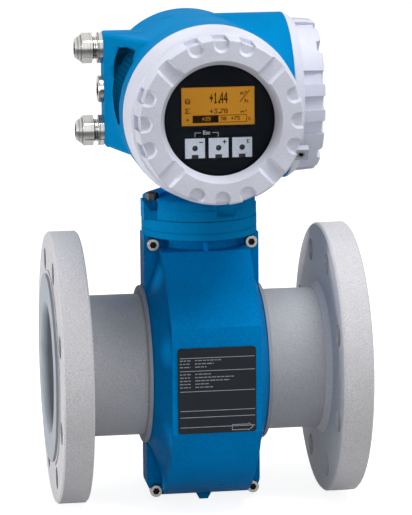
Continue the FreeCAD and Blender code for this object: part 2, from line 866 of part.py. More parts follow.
def entry_block():
    """Block on the left that carries the three cable entries."""
    half = s.block_depth / 2
    low = block_centre - s.block_height / 2
    body = doc.addObject("PartDesign::Body", "entry_block")
    sketch = new_sketch(body, "entry_block_outline", "XY_Plane", low)
    left, right = -s.block_left, 0
    draw(sketch, [(left, s.side_barrel_axis - half), (right, s.side_barrel_axis - half),
                  (right, s.side_barrel_axis + half), (left, s.side_barrel_axis + half)])
    pad = body.newObject("PartDesign::Pad", "entry_block_pad")
    pad.Profile = sketch
    bind(pad, Length=s.block_height)
    doc.recompute()
    soften(body, "entry_block_edges", "Fillet", s.block_round,
           lambda p, edge: p.x < -s.block_left.value * 0.4)
    return body


def web():
    """Flared web that joins the entry block to the display barrel, with its side pocket."""
    back = s.side_barrel_axis - s.block_depth / 2 + s.block_round
    low = block_centre - s.block_height / 2 + s.web_inset
    high = low + s.block_height - s.web_inset * 2
    left = s.web_inset - s.block_left
    rim = s.barrel_front_radius + s.web_step
    above, below = high - barrel_height, barrel_height - low
    body = doc.addObject("PartDesign::Body", "web")
    at_barrel = new_sketch(body, "web_at_barrel", "XZ_Plane", s.web_front)
    draw(at_barrel, [(0, low), (0, high), (-root(rim * rim - above * above), high, rim, 1),
                     (-root(rim * rim - below * below), low)])
    at_block = new_sketch(body, "web_at_block", "XZ_Plane", -back)
    draw(at_block, [(0, low), (0, high), (left, high), (left, low)])
    flare = body.newObject("PartDesign::AdditiveLoft", "web_flare")
    flare.Profile = at_block
    flare.Sections = [at_barrel]
    flare.Ruled = True
    doc.recompute()
    soften(body, "web_edges", "Fillet", s.block_round,
           lambda p, edge: p.x < -s.block_left.value * 0.4 and -s.web_front.value + 1 < p.y < back.value - 1)
    front, rear = s.web_pocket_margin - s.web_front, -s.web_pocket_back
    foot = barrel_height - s.web_pocket_below
    pocket_body = plate("web_pocket", "YZ_Plane", [
        (front, foot), (front, foot + s.web_pocket_height - s.web_pocket_slope),
        (rear, foot + s.web_pocket_height), (rear, foot + s.web_pocket_turn, s.web_pocket_bow, 1)],
        s.block_left * 2 + MARGIN)
    floor = cylinder("web_pocket_floor", s.web_pocket_floor, s.web_front * 4, "+y",
                     (0, -s.web_front * 2, barrel_height))
    left_only = box("web_left_only", (-s.block_left * 2, -s.web_front * 2, 0),
                    (0, s.web_front * 2, barrel_height * 2))
    tool = common("web_pocket_left", cut("web_pocket_shape", pocket_body, floor), left_only)
    return body, tool


def base_blank():
    """Round base that turns on the neck ring, with a ledge and a cone up to the neck."""
    ledge, radius = s.base_ledge, base_radius
    top = s.base_height
    shoulder = top + s.base_cone_height
    neck = radius - s.base_shoulder
    neck_end = s.barrel_rise - s.barrel_back_radius / 2
    return turned("base_blank", [
        (0, 0), (radius, 0), (radius, s.base_ledge_at), (radius - ledge, s.base_ledge_at),
        (radius - ledge, top), (neck, shoulder), (neck, neck_end),
        (0, neck_end)], "+z", (0, 0, base_bottom))


def chamber_cuts():
    """Display chamber, connection chamber, their threads and the cable passages."""
    clearance = s.thread_clearance
    display = cylinder("display_chamber", s.display_chamber_radius, s.display_chamber_depth, "+y",
                       (0, -s.barrel_front, barrel_height))
    display_thread = cylinder("display_thread", display_spigot + clearance, s.thread_depth, "+y",
                              (0, -s.barrel_front, barrel_height))
    side_length = s.side_chamber_left + s.side_barrel_right
    side = cylinder("side_chamber", s.side_chamber_radius, side_length, "+x",
                    (-s.side_chamber_left, s.side_barrel_axis, barrel_height))
    side_thread = cylinder("side_thread", side_spigot + clearance, s.thread_depth, "-x",
                           (s.side_barrel_right, s.side_barrel_axis, barrel_height))
    passage = cylinder("cable_passage", s.cable_passage_radius, s.barrel_rise, "+z", (0, 0, base_bottom))
    seat = cylinder("turning_seat", spigot_radius + s.turning_gap, s.spigot_height + s.turning_gap, "+z",
                    (0, 0, base_bottom))
    entry_length = s.block_left - s.side_chamber_left * 7 / 8
    entries = [cylinder(f"{name}_entry", s.entry_radius, entry_length, "+x",
                        (-s.block_left, s.side_barrel_axis, height)) for name, height in entry_heights()]
    return [display, display_thread, side, side_thread, passage, seat, *entries]


def lock_pocket():
    """Recess in the base through which the turning lock is reached."""
    low = base_bottom + s.base_ledge_at - s.lock_pocket_height / 2
    return box("lock_pocket", (s.lock_pocket_width / 2, -base_radius - MARGIN, low),
               (s.lock_pocket_width * 3 / 2, -base_radius + s.lock_pocket_depth, low + s.lock_pocket_height))


def electronics_housing():
    web_blank, web_pocket = web()
    lug, slot, lug_drill = lock_lug()
    outside = fuse("housing_outside", barrel_blank(), side_barrel_blank(), entry_block(), web_blank,
                   base_blank(), lug, clamp_foot())
    node(cut("housing_cut", outside, web_pocket, lock_pocket(), slot, lug_drill, *chamber_cuts()),
         "electronics_housing")


# ---------------------------------------------------------------- covers

def scallop(body, label, height, ring_radius, turn):
    """Thumb notch in a cover's face, with sloping sides and a round end."""
    inner = ring_radius - s.scallop_reach + s.scallop_width / 2
    outlines = []
    for level, lift in (("floor", -s.scallop_depth), ("mouth", as_size(MARGIN))):
        half = s.scallop_width / 2 + s.scallop_slope * (lift / s.scallop_depth)
        outline = new_sketch(body, f"{label}_{level}", "XY_Plane", height + lift, V(0, 0, 1), turn)
        outlines.append(draw(outline, [(inner, -half), (ring_radius * 1.2, -half), (ring_radius * 1.2, half),
                                       (inner, half, half * 1.0001, -1)]))
    before = body.Shape.Volume
    notch = body.newObject("PartDesign::SubtractiveLoft", label)
    notch.Profile = outlines[0]
    notch.Sections = [outlines[1]]
    notch.Ruled = True
    doc.recompute()
    if body.Shape.Volume > before - 1e-3:
        raise ValueError(f"{label} removes nothing")
    return notch


def grip(body, label, height, ring_radius, skirt_height):
    """Twelve scallops in four groups of three, and four wide channels between the groups."""
    side_half = s.scallop_side_width / 2
    for number, step in enumerate((-1, 0, 1)):
        name = f"{label}_scallop_{number}"
        face_cut = scallop(body, name, height, ring_radius, s.scallop_spacing * step)
        side = new_sketch(body, name + "_side_outline", "XY_Plane", height, V(0, 0, 1),
                          s.scallop_spacing * step)
        floor = ring_radius - s.ring_taper - s.scallop_side_depth
        draw(side, [(floor, -side_half), (ring_radius * 1.2, -side_half),
                    (ring_radius * 1.2, side_half), (floor, side_half)])
        side_cut = pocket(body, name + "_side", side, height - skirt_height)
        repeat(body, name + "_ring", [face_cut, side_cut], 4)
    channel = new_sketch(body, label + "_channel_outline", "XZ_Plane", None, V(0, 1, 0), 45)
    top, floor = height + MARGIN, height - s.channel_depth
    wide, narrow = s.channel_width / 2, s.channel_floor / 2
    draw(channel, [(-narrow, floor), (narrow, floor), (wide, top), (-wide, top)])
    channel_cut = pocket(body, label + "_channel", channel, ring_radius * 1.2)
    repeat(body, label + "_channels", [channel_cut], 4)


def seal_groove(spigot):
    """Points of the groove that holds the cover's seal, from its far side to its near side."""
    section = s.cover_seal_section
    middle = -s.cover_seal_inset
    floor = spigot - section * 2 + s.thread_clearance / 2
    wide = section * 1.3
    return [(spigot, middle - wide), (floor, middle - wide), (floor, middle + wide), (spigot, middle + wide)]


def display_cover():
    """Screwed cover with a glass window."""
    height, ring = s.display_cover_height, s.display_ring_radius
    inner = display_spigot - s.spigot_wall
    rim = s.barrel_front_radius - s.rim_setback
    glass_face = height - s.glass_below_face
    glass_back = glass_face - s.glass_thickness
    seat = s.glass_radius + s.glass_fit
    chamfer = s.ring_chamfer
    body = turned("display_cover", [
        (inner, -s.cover_spigot_depth), (display_spigot, -s.cover_spigot_depth), *seal_groove(display_spigot),
        (display_spigot, 0), (rim, 0), (rim, s.display_rim_height),
        (ring + chamfer * 1.5, s.display_skirt_height - chamfer), (ring, s.display_skirt_height),
        (ring - s.ring_taper, height - chamfer), (ring - s.ring_taper - chamfer, height),
        (s.bevel_radius, height), (s.window_radius, glass_face), (seat, glass_face),
        (seat, glass_back), (inner, glass_back)])
    grip(body, "display_cover", height, ring, s.display_skirt_height)
    place(body, "-y", (0, -s.barrel_front, barrel_height))
    node(body, "display_cover")


def cover_window():
    """Glass pane and the ring that holds it against its seat."""
    face = s.barrel_front + s.display_cover_height - s.glass_below_face
    pane = cylinder("cover_glass", s.glass_radius, s.glass_thickness, "+y", (0, -face, barrel_height))
    node(pane, "cover_glass")
    back = face - s.glass_thickness
    inner, outer = s.window_radius + s.glass_ring_margin, display_spigot - s.spigot_wall
    thick = s.glass_ring_thickness
    ring = turned("glass_ring", [(inner, 0), (outer, 0), (outer, thick), (inner, thick)],
                  "+y", (0, -back, barrel_height))
    node(ring, "glass_ring")


def connection_cover():
    """Blind screwed cover of the connection chamber."""
    height, ring = s.side_cover_height, s.side_ring_radius
    inner = side_spigot - s.spigot_wall
    rim = s.side_barrel_radius - s.rim_setback
    chamfer = s.ring_chamfer
    wall = s.shell_wall
    body = turned("connection_cover", [
        (inner, -s.cover_spigot_depth), (side_spigot, -s.cover_spigot_depth), *seal_groove(side_spigot),
        (side_spigot, 0), (rim, 0), (rim, s.side_rim_height),
        (ring + chamfer, s.side_skirt_height - chamfer), (ring, s.side_skirt_height),
        (ring - s.ring_taper, height - chamfer), (ring - s.ring_taper - chamfer, height),
        (s.bevel_radius, height), (s.bevel_radius - s.blind_recess, height - s.blind_recess),
        (0, height - s.blind_recess), (0, height - s.blind_recess - wall),
        (inner, height - s.blind_recess - wall)])
    grip(body, "connection_cover", height, ring, s.side_skirt_height)
    place(body, "+x", (s.side_barrel_right, s.side_barrel_axis, barrel_height))
    node(body, "connection_cover")


def cover_seals():
    section = s.cover_seal_section
    inset = s.cover_seal_inset
    display = torus("display_cover_seal", display_spigot - section + s.thread_clearance / 2, section, "-y",
                    (0, -s.barrel_front + inset, barrel_height))
    node(display, "display_cover_seal")
    side = torus("connection_cover_seal", side_spigot - section + s.thread_clearance / 2, section, "+x",
                 (s.side_barrel_right - inset, s.side_barrel_axis, barrel_height))
    node(side, "connection_cover_seal")


# ---------------------------------------------------------------- display

glass_back_y = s.barrel_front + s.display_cover_height - s.glass_below_face - s.glass_thickness
faceplate_y = glass_back_y - s.display_air_gap


def display_unit():
    """Round carrier with the dark faceplate, the panel and three touch fields."""
    thick = s.faceplate_thickness
    back = thick + s.display_body_depth
    body = s.faceplate_radius - s.display_body_setback
    blank = turned("display_blank", [
        (0, 0), (s.window_radius, 0), (s.window_radius, thick), (body, thick),
        (body, back), (s.display_radius, back), (s.display_radius, back + thick),
        (0, back + thick)], "+y", (0, -faceplate_y, barrel_height))
    half_w, half_h = s.lcd_width / 2, s.lcd_height / 2
    centre = barrel_height + s.lcd_rise
    recess = box("lcd_recess", (-half_w, -faceplate_y - MARGIN, centre - half_h),
                 (half_w, -faceplate_y + s.lcd_recess * 2, centre + half_h))
    node(cut("display_frame_cut", blank, recess), "display_frame")
    panel = box("lcd_panel", (-half_w, -faceplate_y + s.lcd_recess, centre - half_h),
                (half_w, -faceplate_y + s.lcd_recess * 2, centre + half_h))
    node(panel, "lcd_panel")
    for number, name in enumerate(("left_key", "middle_key", "right_key")):
        across = s.key_pitch * (number - 1)
        touch_key(name, across, barrel_height - s.key_drop)


def touch_key(name, across, height):
    """Pale field with a round sensor window and a notch at its foot."""
    half = s.key_size / 2
    front = -faceplate_y - s.key_thickness
    tile = box(name + "_tile", (across - half, front, height - half),
               (across + half, -faceplate_y, height + half))
    window = cylinder(name + "_window", s.key_window_radius, s.key_thickness, "+y", (across, front, height))
    notch = s.key_window_radius * 1.2
    foot = box(name + "_notch", (across - notch, front, height - half),
               (across + notch, -faceplate_y, height - half + notch))
    node(cut(name + "_cut", tile, window, foot), name)


def electronics_module():
    """Potted electronics behind the display."""
    start = s.barrel_front - s.display_chamber_depth
    node(cylinder("electronics_module", s.module_radius, s.module_depth, "-y",
                  (0, -start, barrel_height)), "electronics_module")


# ---------------------------------------------------------------- cable entries

def cable_gland(side, height):
    """Gland body screwed into the block, its seal and the domed nut that squeezes the seal."""
    axis = s.side_barrel_axis
    left = -s.block_left
    flats = s.gland_across_flats
    rounding = flats / 2 * s.gland_hex_rounding
    flange_hex = common(side + "_flange_shape",
                        hexagon(side + "_flange_hex", flats, s.gland_flange, "-x", (left, axis, height)),
                        cylinder(side + "_flange_round", rounding, s.gland_flange, "-x", (left, axis, height)))
    thread = cylinder(side + "_entry_thread", s.entry_radius - s.entry_clearance, s.entry_thread, "+x",
                      (left, axis, height))
    waist = cylinder(side + "_waist", s.gland_waist_radius, s.gland_flange + s.gland_waist, "-x",
                     (left, axis, height))
    collar = cylinder(side + "_collar", s.gland_thread_radius,
                      s.gland_flange + s.gland_waist + s.gland_nut_hex, "-x", (left, axis, height))
    bore = cylinder(side + "_gland_bore", s.gland_bore_radius, s.block_left, "-x",
                    (left + s.entry_thread, axis, height))
    node(cut(side + "_gland_cut", fuse(side + "_gland_blank", flange_hex, thread, waist, collar), bore),
         side + "_gland")
    nut_start = left - s.gland_flange - s.gland_waist
    inside = s.gland_nut_hex + s.gland_nut_shoulder
    dome = turned(side + "_nut_dome", [
        (0, 0), (rounding, 0), (rounding, s.gland_nut_hex), (flats / 2, inside),
        (s.gland_bore_radius + s.gland_nut_lip, s.gland_nut_length), (0, s.gland_nut_length)],
        "-x", (nut_start, axis, height))
    nut_hex = hexagon(side + "_nut_hex", flats, s.gland_nut_length, "-x", (nut_start, axis, height))
    nut_bore = cylinder(side + "_nut_bore", s.gland_thread_radius + s.thread_clearance, inside,
                        "-x", (nut_start, axis, height))
    mouth = cylinder(side + "_nut_mouth", s.gland_bore_radius + s.thread_clearance,
                     s.gland_nut_length + MARGIN, "-x", (nut_start, axis, height))
    node(cut(side + "_nut_shape", common(side + "_nut_blank", dome, nut_hex), nut_bore, mouth),
         side + "_gland_nut")
    length = s.gland_nut_length - s.gland_nut_lip
    seal = turned(side + "_gland_seal", [
        (s.gland_seal_bore, 0), (s.gland_bore_radius, 0), (s.gland_bore_radius, length),
        (s.gland_seal_bore, length)], "-x", (nut_start - s.gland_nut_shoulder, axis, height))
    node(seal, side + "_gland_seal")


def blanking_plug():
    axis, left = s.side_barrel_axis, -s.block_left
    head = s.plug_head
    radius = s.gland_across_flats / 2
    thread = s.entry_radius - s.entry_clearance
    edge = s.plug_chamfer
    blank = turned("plug_blank", [
        (0, -s.entry_thread), (thread, -s.entry_thread), (thread, 0), (radius, 0), (radius, head - edge),
        (radius - edge, head), (0, head)], "-x", (left, axis, block_centre))
    socket = hexagon("plug_socket", radius, head, "-x", (left - head / 2, axis, block_centre))
    node(cut("blanking_plug_cut", blank, socket), "blanking_plug")


# ---------------------------------------------------------------- clamp and terminals

def swung(thing):
    """Carry a thing built beside the X axis to its place beside the connection cover's rim."""
    thing.Placement = FreeCAD.Placement(V(0, s.side_barrel_axis.value, barrel_height.value),
                                        FreeCAD.Rotation(V(1, 0, 0), s.clamp_angle.value))
    thing.setExpression("Placement.Rotation.Angle", s.clamp_angle.text)
    thing.setExpression("Placement.Base.y", s.side_barrel_axis.text)
    thing.setExpression("Placement.Base.z", barrel_height.text)
    return thing


def clamp_box(name, start, end, inner, outer):
    half = s.clamp_thickness / 2
    return box(name, (start, -outer, -half), (end, -inner, half))


clamp_near = s.side_barrel_radius + s.clamp_clearance
clamp_far = clamp_near + s.clamp_height
clamp_start = s.side_barrel_right - s.clamp_seat
clamp_end = s.side_barrel_right + s.clamp_hook


def clamp_foot():
    """Boss cast on the housing, which carries the claw."""
    return swung(clamp_box("clamp_foot", clamp_start - s.clamp_foot, clamp_start,
                           s.side_barrel_radius - s.clamp_height, clamp_far))


def cover_clamp():
    """Claw over the rim of the connection cover, with its locking screw backed off."""
    claw = clamp_box("claw_blank", clamp_start, clamp_end, clamp_near, clamp_far)
    across = clamp_end - s.clamp_screw_setback
    hole = cylinder("claw_hole", s.clamp_screw_radius + s.screw_fit, s.clamp_height, "-y",
                    (across, -clamp_near, 0))
    sunk = s.clamp_screw_radius * 2
    seat = cylinder("claw_seat", head_radius(s.clamp_screw_radius) + s.screw_fit, sunk + MARGIN, "-y",
                    (across, sunk - clamp_far, 0))
    node(swung(cut("claw", claw, hole, seat)), "cover_clamp")
    screw = socket_screw("claw_screw", s.clamp_screw_radius, s.clamp_height - sunk, "-y",
                         (across, sunk - clamp_far, 0))
    node(swung(screw), "cover_clamp_screw")


lock_screw_depth = -(s.lock_lug_front + s.lock_lug_back) / 2
lock_screw_across = s.lock_screw_inset - base_radius


def lock_lug():
    """Lug on the base that holds the screw which stops the transmitter from turning."""
    top = base_bottom + s.base_height
    left = -base_radius - s.lock_lug_overhang
    body = box("lock_lug", (left, -s.lock_lug_front, base_bottom),
               (left + s.lock_lug_width, -s.lock_lug_back, top))
    half = s.lock_slot_width / 2
    slot = box("lock_slot",
               (lock_screw_across - half, -s.lock_lug_front - MARGIN, base_bottom + s.base_height / 2),
               (lock_screw_across + half, -s.lock_lug_front + s.lock_slot_depth, top + MARGIN))
    drill = cylinder("lock_hole", s.lock_screw_radius + s.screw_fit, s.base_height, "+z",
                     (lock_screw_across, lock_screw_depth, base_bottom))
    recess = cylinder("lock_head_recess", head_radius(s.lock_screw_radius) + s.screw_fit,
                      s.base_cone_height * 2, "+z", (lock_screw_across, lock_screw_depth, top))
    return body, slot, fuse("lock_drill", drill, recess)


def turn_lock_screw():
    top = base_bottom + s.base_height
    screw = socket_screw("lock_screw", s.lock_screw_radius, s.base_height - s.screw_fit, "+z",
                         (lock_screw_across, lock_screw_depth, top))
    node(screw, "turn_lock_screw")


def terminals():
    """Carrier against the back wall of the connection chamber, terminal strip and its screws."""
    wall = s.side_barrel_axis + s.side_chamber_radius
    seat = wall - s.carrier_depth
    height, half = s.terminal_height, s.terminal_height / 2
    round_back = cylinder("carrier_round", s.side_chamber_radius, s.carrier_left + s.carrier_right, "+x",
                          (-s.carrier_left, s.side_barrel_axis, barrel_height))
    slice_box = box("carrier_slice", (-s.carrier_left, seat, barrel_height - s.side_chamber_radius),
                    (s.carrier_right, wall, barrel_height + s.side_chamber_radius))
    node(common("carrier_shape", round_back, slice_box), "terminal_carrier")
    left = (s.carrier_right - s.carrier_left) / 2 - s.terminal_width / 2
    front = seat - s.terminal_depth
    strip = box("strip_blank", (left, front, barrel_height - half),
                (left + s.terminal_width, seat, barrel_height + half))
    pitch = height / s.terminal_count
    count = int(s.terminal_count.value)
    drills = []
    screws = []
    for number in range(count):
        at = (left + s.terminal_width / 4, front, barrel_height - half + pitch * (number + 0.5))
        radius = s.terminal_screw_radius
        drills.append(cylinder(f"terminal_hole_{number}", radius, s.terminal_depth / 2, "+y", at))
        slot_low = (left + s.terminal_width / 2, front - MARGIN, at[2] - radius)
        slot_high = (left + s.terminal_width + MARGIN, front + s.terminal_depth / 2, at[2] + radius)
        drills.append(box(f"terminal_slot_{number}", slot_low, slot_high))
        screws.append(cylinder(f"terminal_screw_{number}", radius, s.terminal_depth / 4, "+y",
                               (at[0], front + s.terminal_depth / 4, at[2])))
    node(cut("strip_shape", strip, *drills), "terminal_block")
    node(group("terminal_screw_set", *screws), "terminal_screws")


measuring_tube()
flange("inlet_flange", "-x", -1)
flange("outlet_flange", "+x", 1)
tube_liner()
liner_face("inlet_liner_face", "-x", -1)
liner_face("outlet_liner_face", "+x", 1)
electrode("front", "-y")
electrode("back", "+y")
magnet("upper", "+z")
magnet("lower", "-z")
field_yoke()
shell_castings()
shell_screws()
tube_seal("inlet_seal", "-x", -1)
tube_seal("outlet_seal", "+x", 1)
nameplate()
neck_ring()
electronics_housing()
display_cover()
cover_window()
connection_cover()
cover_seals()
display_unit()
electronics_module()
for entry, entry_height in entry_heights():
    if entry != "middle":
        cable_gland(entry, entry_height)
blanking_plug()
cover_clamp()
turn_lock_screw()
terminals()

doc.recompute()
for thing in doc.Objects:
    if "Invalid" in thing.State or "Error" in thing.State:
        raise ValueError(f"{thing.Label} failed: {thing.State}")
os.makedirs("parts", exist_ok=True)
for part in NODES:
    if part.Shape.isNull() or not part.Shape.isValid():
        raise ValueError(f"{part.Label} has no valid shape")
    part.Shape.exportStep(f"parts/{part.Label}.step")
    print(part.Label, len(part.Shape.Solids), round(part.Shape.Volume))
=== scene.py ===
"""Looks of a flanged electromagnetic flow meter: its finishes, prints, threads, carved recess and stage."""

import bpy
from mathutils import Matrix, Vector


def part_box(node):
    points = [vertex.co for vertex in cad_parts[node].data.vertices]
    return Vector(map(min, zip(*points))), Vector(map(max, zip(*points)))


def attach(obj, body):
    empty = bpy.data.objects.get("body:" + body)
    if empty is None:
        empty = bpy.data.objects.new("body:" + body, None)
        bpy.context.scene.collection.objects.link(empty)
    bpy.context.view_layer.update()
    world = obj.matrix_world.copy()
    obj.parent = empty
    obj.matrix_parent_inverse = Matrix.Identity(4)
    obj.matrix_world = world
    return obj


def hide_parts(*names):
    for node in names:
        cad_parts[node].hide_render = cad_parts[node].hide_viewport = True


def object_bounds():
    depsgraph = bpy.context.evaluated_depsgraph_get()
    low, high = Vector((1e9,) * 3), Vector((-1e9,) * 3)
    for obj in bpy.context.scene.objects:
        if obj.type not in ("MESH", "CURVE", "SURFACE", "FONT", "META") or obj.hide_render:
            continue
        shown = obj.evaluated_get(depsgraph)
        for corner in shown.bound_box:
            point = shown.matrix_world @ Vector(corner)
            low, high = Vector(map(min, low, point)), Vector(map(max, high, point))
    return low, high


bl_info = {
    "name": "Flow meter looks",
    "version": (1, 0, 0),
    "blender": (4, 5, 0),
    "location": "3D View > Sidebar > Flow Meter",
    "description": "Dresses the flow meter's frame and sets it on a plain stage",
    "category": "Object",
}

import math
from random import Random

import bmesh
import bpy
from bpy.props import FloatProperty, FloatVectorProperty, IntProperty, PointerProperty
from mathutils import Matrix, Vector

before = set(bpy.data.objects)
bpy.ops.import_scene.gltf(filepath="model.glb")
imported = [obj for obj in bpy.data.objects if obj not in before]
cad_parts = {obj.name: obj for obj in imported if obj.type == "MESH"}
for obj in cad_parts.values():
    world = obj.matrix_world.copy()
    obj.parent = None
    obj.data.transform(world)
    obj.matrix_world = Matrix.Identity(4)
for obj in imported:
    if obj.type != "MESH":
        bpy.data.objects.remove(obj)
CAD_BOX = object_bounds()
MM = 0.001
MERGE = 0.001 * MM
X, Y, Z = Vector((1, 0, 0)), Vector((0, 1, 0)), Vector((0, 0, 1))


def linear(red, green, blue):
    """Scene colour of an 8-bit display colour."""
    def channel(value):
        value /= 255
        return value / 12.92 if value <= 0.04045 else ((value + 0.055) / 1.055) ** 2.4
    return channel(red), channel(green), channel(blue)


# ---------------------------------------------------------------- settings

def colour(name, description, red, green, blue):
    return FloatVectorProperty(name=name, description=description, default=linear(red, green, blue),
                               subtype="COLOR", size=3, min=0, max=1)


def length(name, description, millimetres):
    return FloatProperty(name=name, description=description, default=millimetres * MM, min=0, unit="LENGTH")


def power(name, description, watts):
    return FloatProperty(name=name, description=description, default=watts, min=0, unit="POWER")


class MeterPaint(bpy.types.PropertyGroup):
    """Colours and grain of the finishes."""
    casting: colour("Casting", "Paint of the sensor shell", 0, 124, 192)
    housing: colour("Housing", "Paint of the transmitter housing", 4, 124, 182)
    cover: colour("Covers", "Powder coat of the covers and the claw", 203, 205, 218)
    flange: colour("Flanges", "Blasted flange steel", 205, 204, 208)
    tube: colour("Tube", "Blasted tube steel", 179, 180, 184)
    liner: colour("Liner", "Lining of the tube and its flares", 150, 157, 167)
    collar: colour("Tube seals", "Rubber rings where the tube leaves the shell", 156, 159, 166)
    plate: colour("Name plate", "Anodised ground of the name plate", 33, 37, 42)
    backlight: colour("Backlight", "Lit ground of the display", 190, 130, 38)
    face: colour("Display face", "Dark face round the display panel", 17, 21, 28)
    key: colour("Keys", "Printed touch fields", 204, 212, 226)
    nickel: colour("Nickel", "Plating of the cable glands", 160, 159, 156)
    shell_grain: length("Shell grain", "Width of the orange peel on the shell", 1.9)
    housing_grain: length("Housing grain", "Width of the orange peel on the housing", 1.1)
    blast_grain: length("Blast grain", "Width of the marks on blasted steel", 0.8)


class MeterPrint(bpy.types.PropertyGroup):
    """Sizes of printed marks."""
    rule: length("Rule", "Width of the rules on the name plate", 0.4)
    film: length("Film", "Thickness of a printed mark", 0.03)
    dot: length("Dot", "Pitch of the display's dots", 0.49)
    entries: IntProperty(name="Entries", description="Blank entry lines on the name plate", default=8, min=0)


class MeterStage(bpy.types.PropertyGroup):
    """Light and floor."""
    left: power("Left", "Power of the lamp on the left", 40)
    front: power("Front", "Power of the lamp in front", 14)
    right: power("Right", "Power of the lamp on the right", 6)
    top: power("Top", "Power of the lamp above", 50)
    sky: FloatProperty(name="Sky", description="Strength of the even light", default=0.2, min=0)
    floor: colour("Floor", "Colour of the floor", 180, 180, 180)


# ---------------------------------------------------------------- finishes

class Value:
    """A socket of a node tree, with which sums are written."""

    def __init__(self, nodes, socket):
        self.nodes = nodes
        self.socket = socket

    def maths(self, operation, *others):
        return self.nodes.node("ShaderNodeMath", {"operation": operation}, dict(enumerate((self, *others))))

    def __add__(self, other):
        return self.maths("ADD", other)

    def __sub__(self, other):
        return self.maths("SUBTRACT", other)

    def __rsub__(self, other):
        return self.nodes.node("ShaderNodeMath", {"operation": "SUBTRACT"}, {0: other, 1: self})

    def __mul__(self, other):
        return self.maths("MULTIPLY", other)

    __radd__ = __add__
    __rmul__ = __mul__


class Nodes:
    """A node tree and the ways to add to it."""

    def __init__(self, tree):
        self.tree = tree

    def feed(self, socket, value):
        """Link a value to a socket, or set the socket to a number or colour."""
        if isinstance(value, Value):
            self.tree.links.new(value.socket, socket)
        else:
            socket.default_value = value

    def node(self, kind, settings, inputs, output=0):
        """Add a node: its settings come first, then what each of its sockets holds or is linked to."""
        made = self.tree.nodes.new(kind)
        for name, setting in settings.items():
            setattr(made, name, setting)
        for name, value in inputs.items():
            self.feed(made.inputs[name], value)
        return Value(self, made.outputs[output])

    def rays(self, *kinds):
        """1 for rays of these kinds, and 0 for the rest."""
        found, *others = [self.node("ShaderNodeLightPath", {}, {}, kind) for kind in kinds]
        for other in others:
            found = found.maths("MAXIMUM", other)
        return found


class Finish(Nodes):
    """A material and the nodes that make it."""

    def __init__(self, name, **constants):
        self.material = bpy.data.materials.new(name)
        self.material.use_nodes = True
        super().__init__(self.material.node_tree)
        self.tree.nodes.clear()
        self.end = self.tree.nodes.new("ShaderNodeOutputMaterial")
        self.shader = self.tree.nodes.new("ShaderNodeBsdfPrincipled")
        self.tree.links.new(self.shader.outputs[0], self.end.inputs["Surface"])
        self.spot = self.node("ShaderNodeTexCoord", {}, {}, "Object")
        self.paint(**constants)

    def noise(self, size, detail=2.0, stretch=(1, 1, 1), spot=None):
        """Noise whose features are about as wide as size, drawn out along the axes with a small stretch."""
        place = self.node("ShaderNodeMapping", {}, {"Vector": spot or self.spot, "Scale": stretch})
        return self.node("ShaderNodeTexNoise", {}, {"Vector": place, "Scale": 1 / size, "Detail": detail})

    def axes(self):
        """The surface's x, y and z."""
        split = self.node("ShaderNodeSeparateXYZ", {}, {0: self.spot})
        return [Value(self, socket) for socket in split.socket.node.outputs]

    def joined(self, x, y, z):
        return self.node("ShaderNodeCombineXYZ", {}, {0: x, 1: y, 2: z})

    def blend(self, mask, first, second):
        """Colour that goes from the first to the second where the mask goes from 0 to 1."""
        return self.node("ShaderNodeMix", {"data_type": "RGBA"},
                         {0: mask, 6: rgba(first), 7: rgba(second)}, 2)

    def spread(self, value, low, high):
        """The value's range from low to high, stretched to 0 to 1."""
        return self.node("ShaderNodeMapRange", {}, {"Value": value, "From Min": low, "From Max": high})

    def edges(self, radius):
        """Normal of a surface whose edges are worn round."""
        return self.node("ShaderNodeBevel", {"samples": 4}, {"Radius": radius})

    def relief(self, height, distance, under=None):
        """Normal of a bumpy surface, on top of the one under it."""
        inputs = {"Height": height, "Distance": distance}
        if under:
            inputs["Normal"] = under
        return self.node("ShaderNodeBump", {}, inputs)

    def paint(self, **sockets):
        """Feed the shader's sockets, named with _ for a space, and give the material."""
        for name, value in sockets.items():
            self.feed(self.shader.inputs[name.replace("_", " ")], value)
        return self.material


def rgba(shade):
    return shade if isinstance(shade, Value) else (*shade, 1)


def toned(shade, factor):
    return tuple(min(1, channel * factor) for channel in shade)


def cast_paint(name, shade, grain, depth, roughness, gloss, edge=0.8 * MM):
    """Paint over a casting: orange peel with painted glints on its crests, a little uneven colour, rounded
    edges.
    """
    finish = Finish(name, Specular_IOR_Level=gloss)
    broad = finish.spread(finish.noise(45 * MM), 0.35, 0.65)
    peel = finish.noise(grain, 1.0)
    fine = finish.noise(grain / 3, 1.0)
    ground = finish.blend(broad, toned(shade, 0.93), toned(shade, 1.05))
    # The peel's crests are painted lighter: a painted highlight that stands in for glints.
    painted_glints = finish.spread(peel, 0.45, 0.75)
    return finish.paint(Base_Color=finish.blend(painted_glints * 0.4, ground, toned(shade, 1.35)),
                        Roughness=roughness + fine * 0.12,
                        Normal=finish.relief(peel + fine * 0.25, depth, finish.edges(edge)))


def blasted_steel(name, shade, grain):
    """Steel roughened by blasting: fine dark and light marks."""
    finish = Finish(name, Specular_IOR_Level=0.3)
    marks = finish.noise(grain, 3.0)
    broad = finish.spread(finish.noise(35 * MM), 0.3, 0.7)
    ground = finish.blend(finish.spread(marks, 0.32, 0.68), toned(shade, 0.74), toned(shade, 1.2))
    return finish.paint(Base_Color=finish.blend(broad * 0.5, ground, toned(shade, 0.86)),
                        Roughness=0.5 + marks * 0.2,
                        Normal=finish.relief(marks, 0.3 * MM, finish.edges(0.6 * MM)))


def plated(name, shade, roughness):
    """Plated or bright metal with faint handling marks."""
    finish = Finish(name, Metallic=1.0)
    smear = finish.noise(6 * MM, 3.0)
    scratches = finish.noise(0.3 * MM, 1.0, (1, 0.15, 1))
    return finish.paint(Base_Color=finish.blend(smear, toned(shade, 0.88), shade),
                        Roughness=roughness + smear * 0.1 + scratches * 0.05,
                        Normal=finish.relief(scratches, 0.01 * MM, finish.edges(0.35 * MM)))


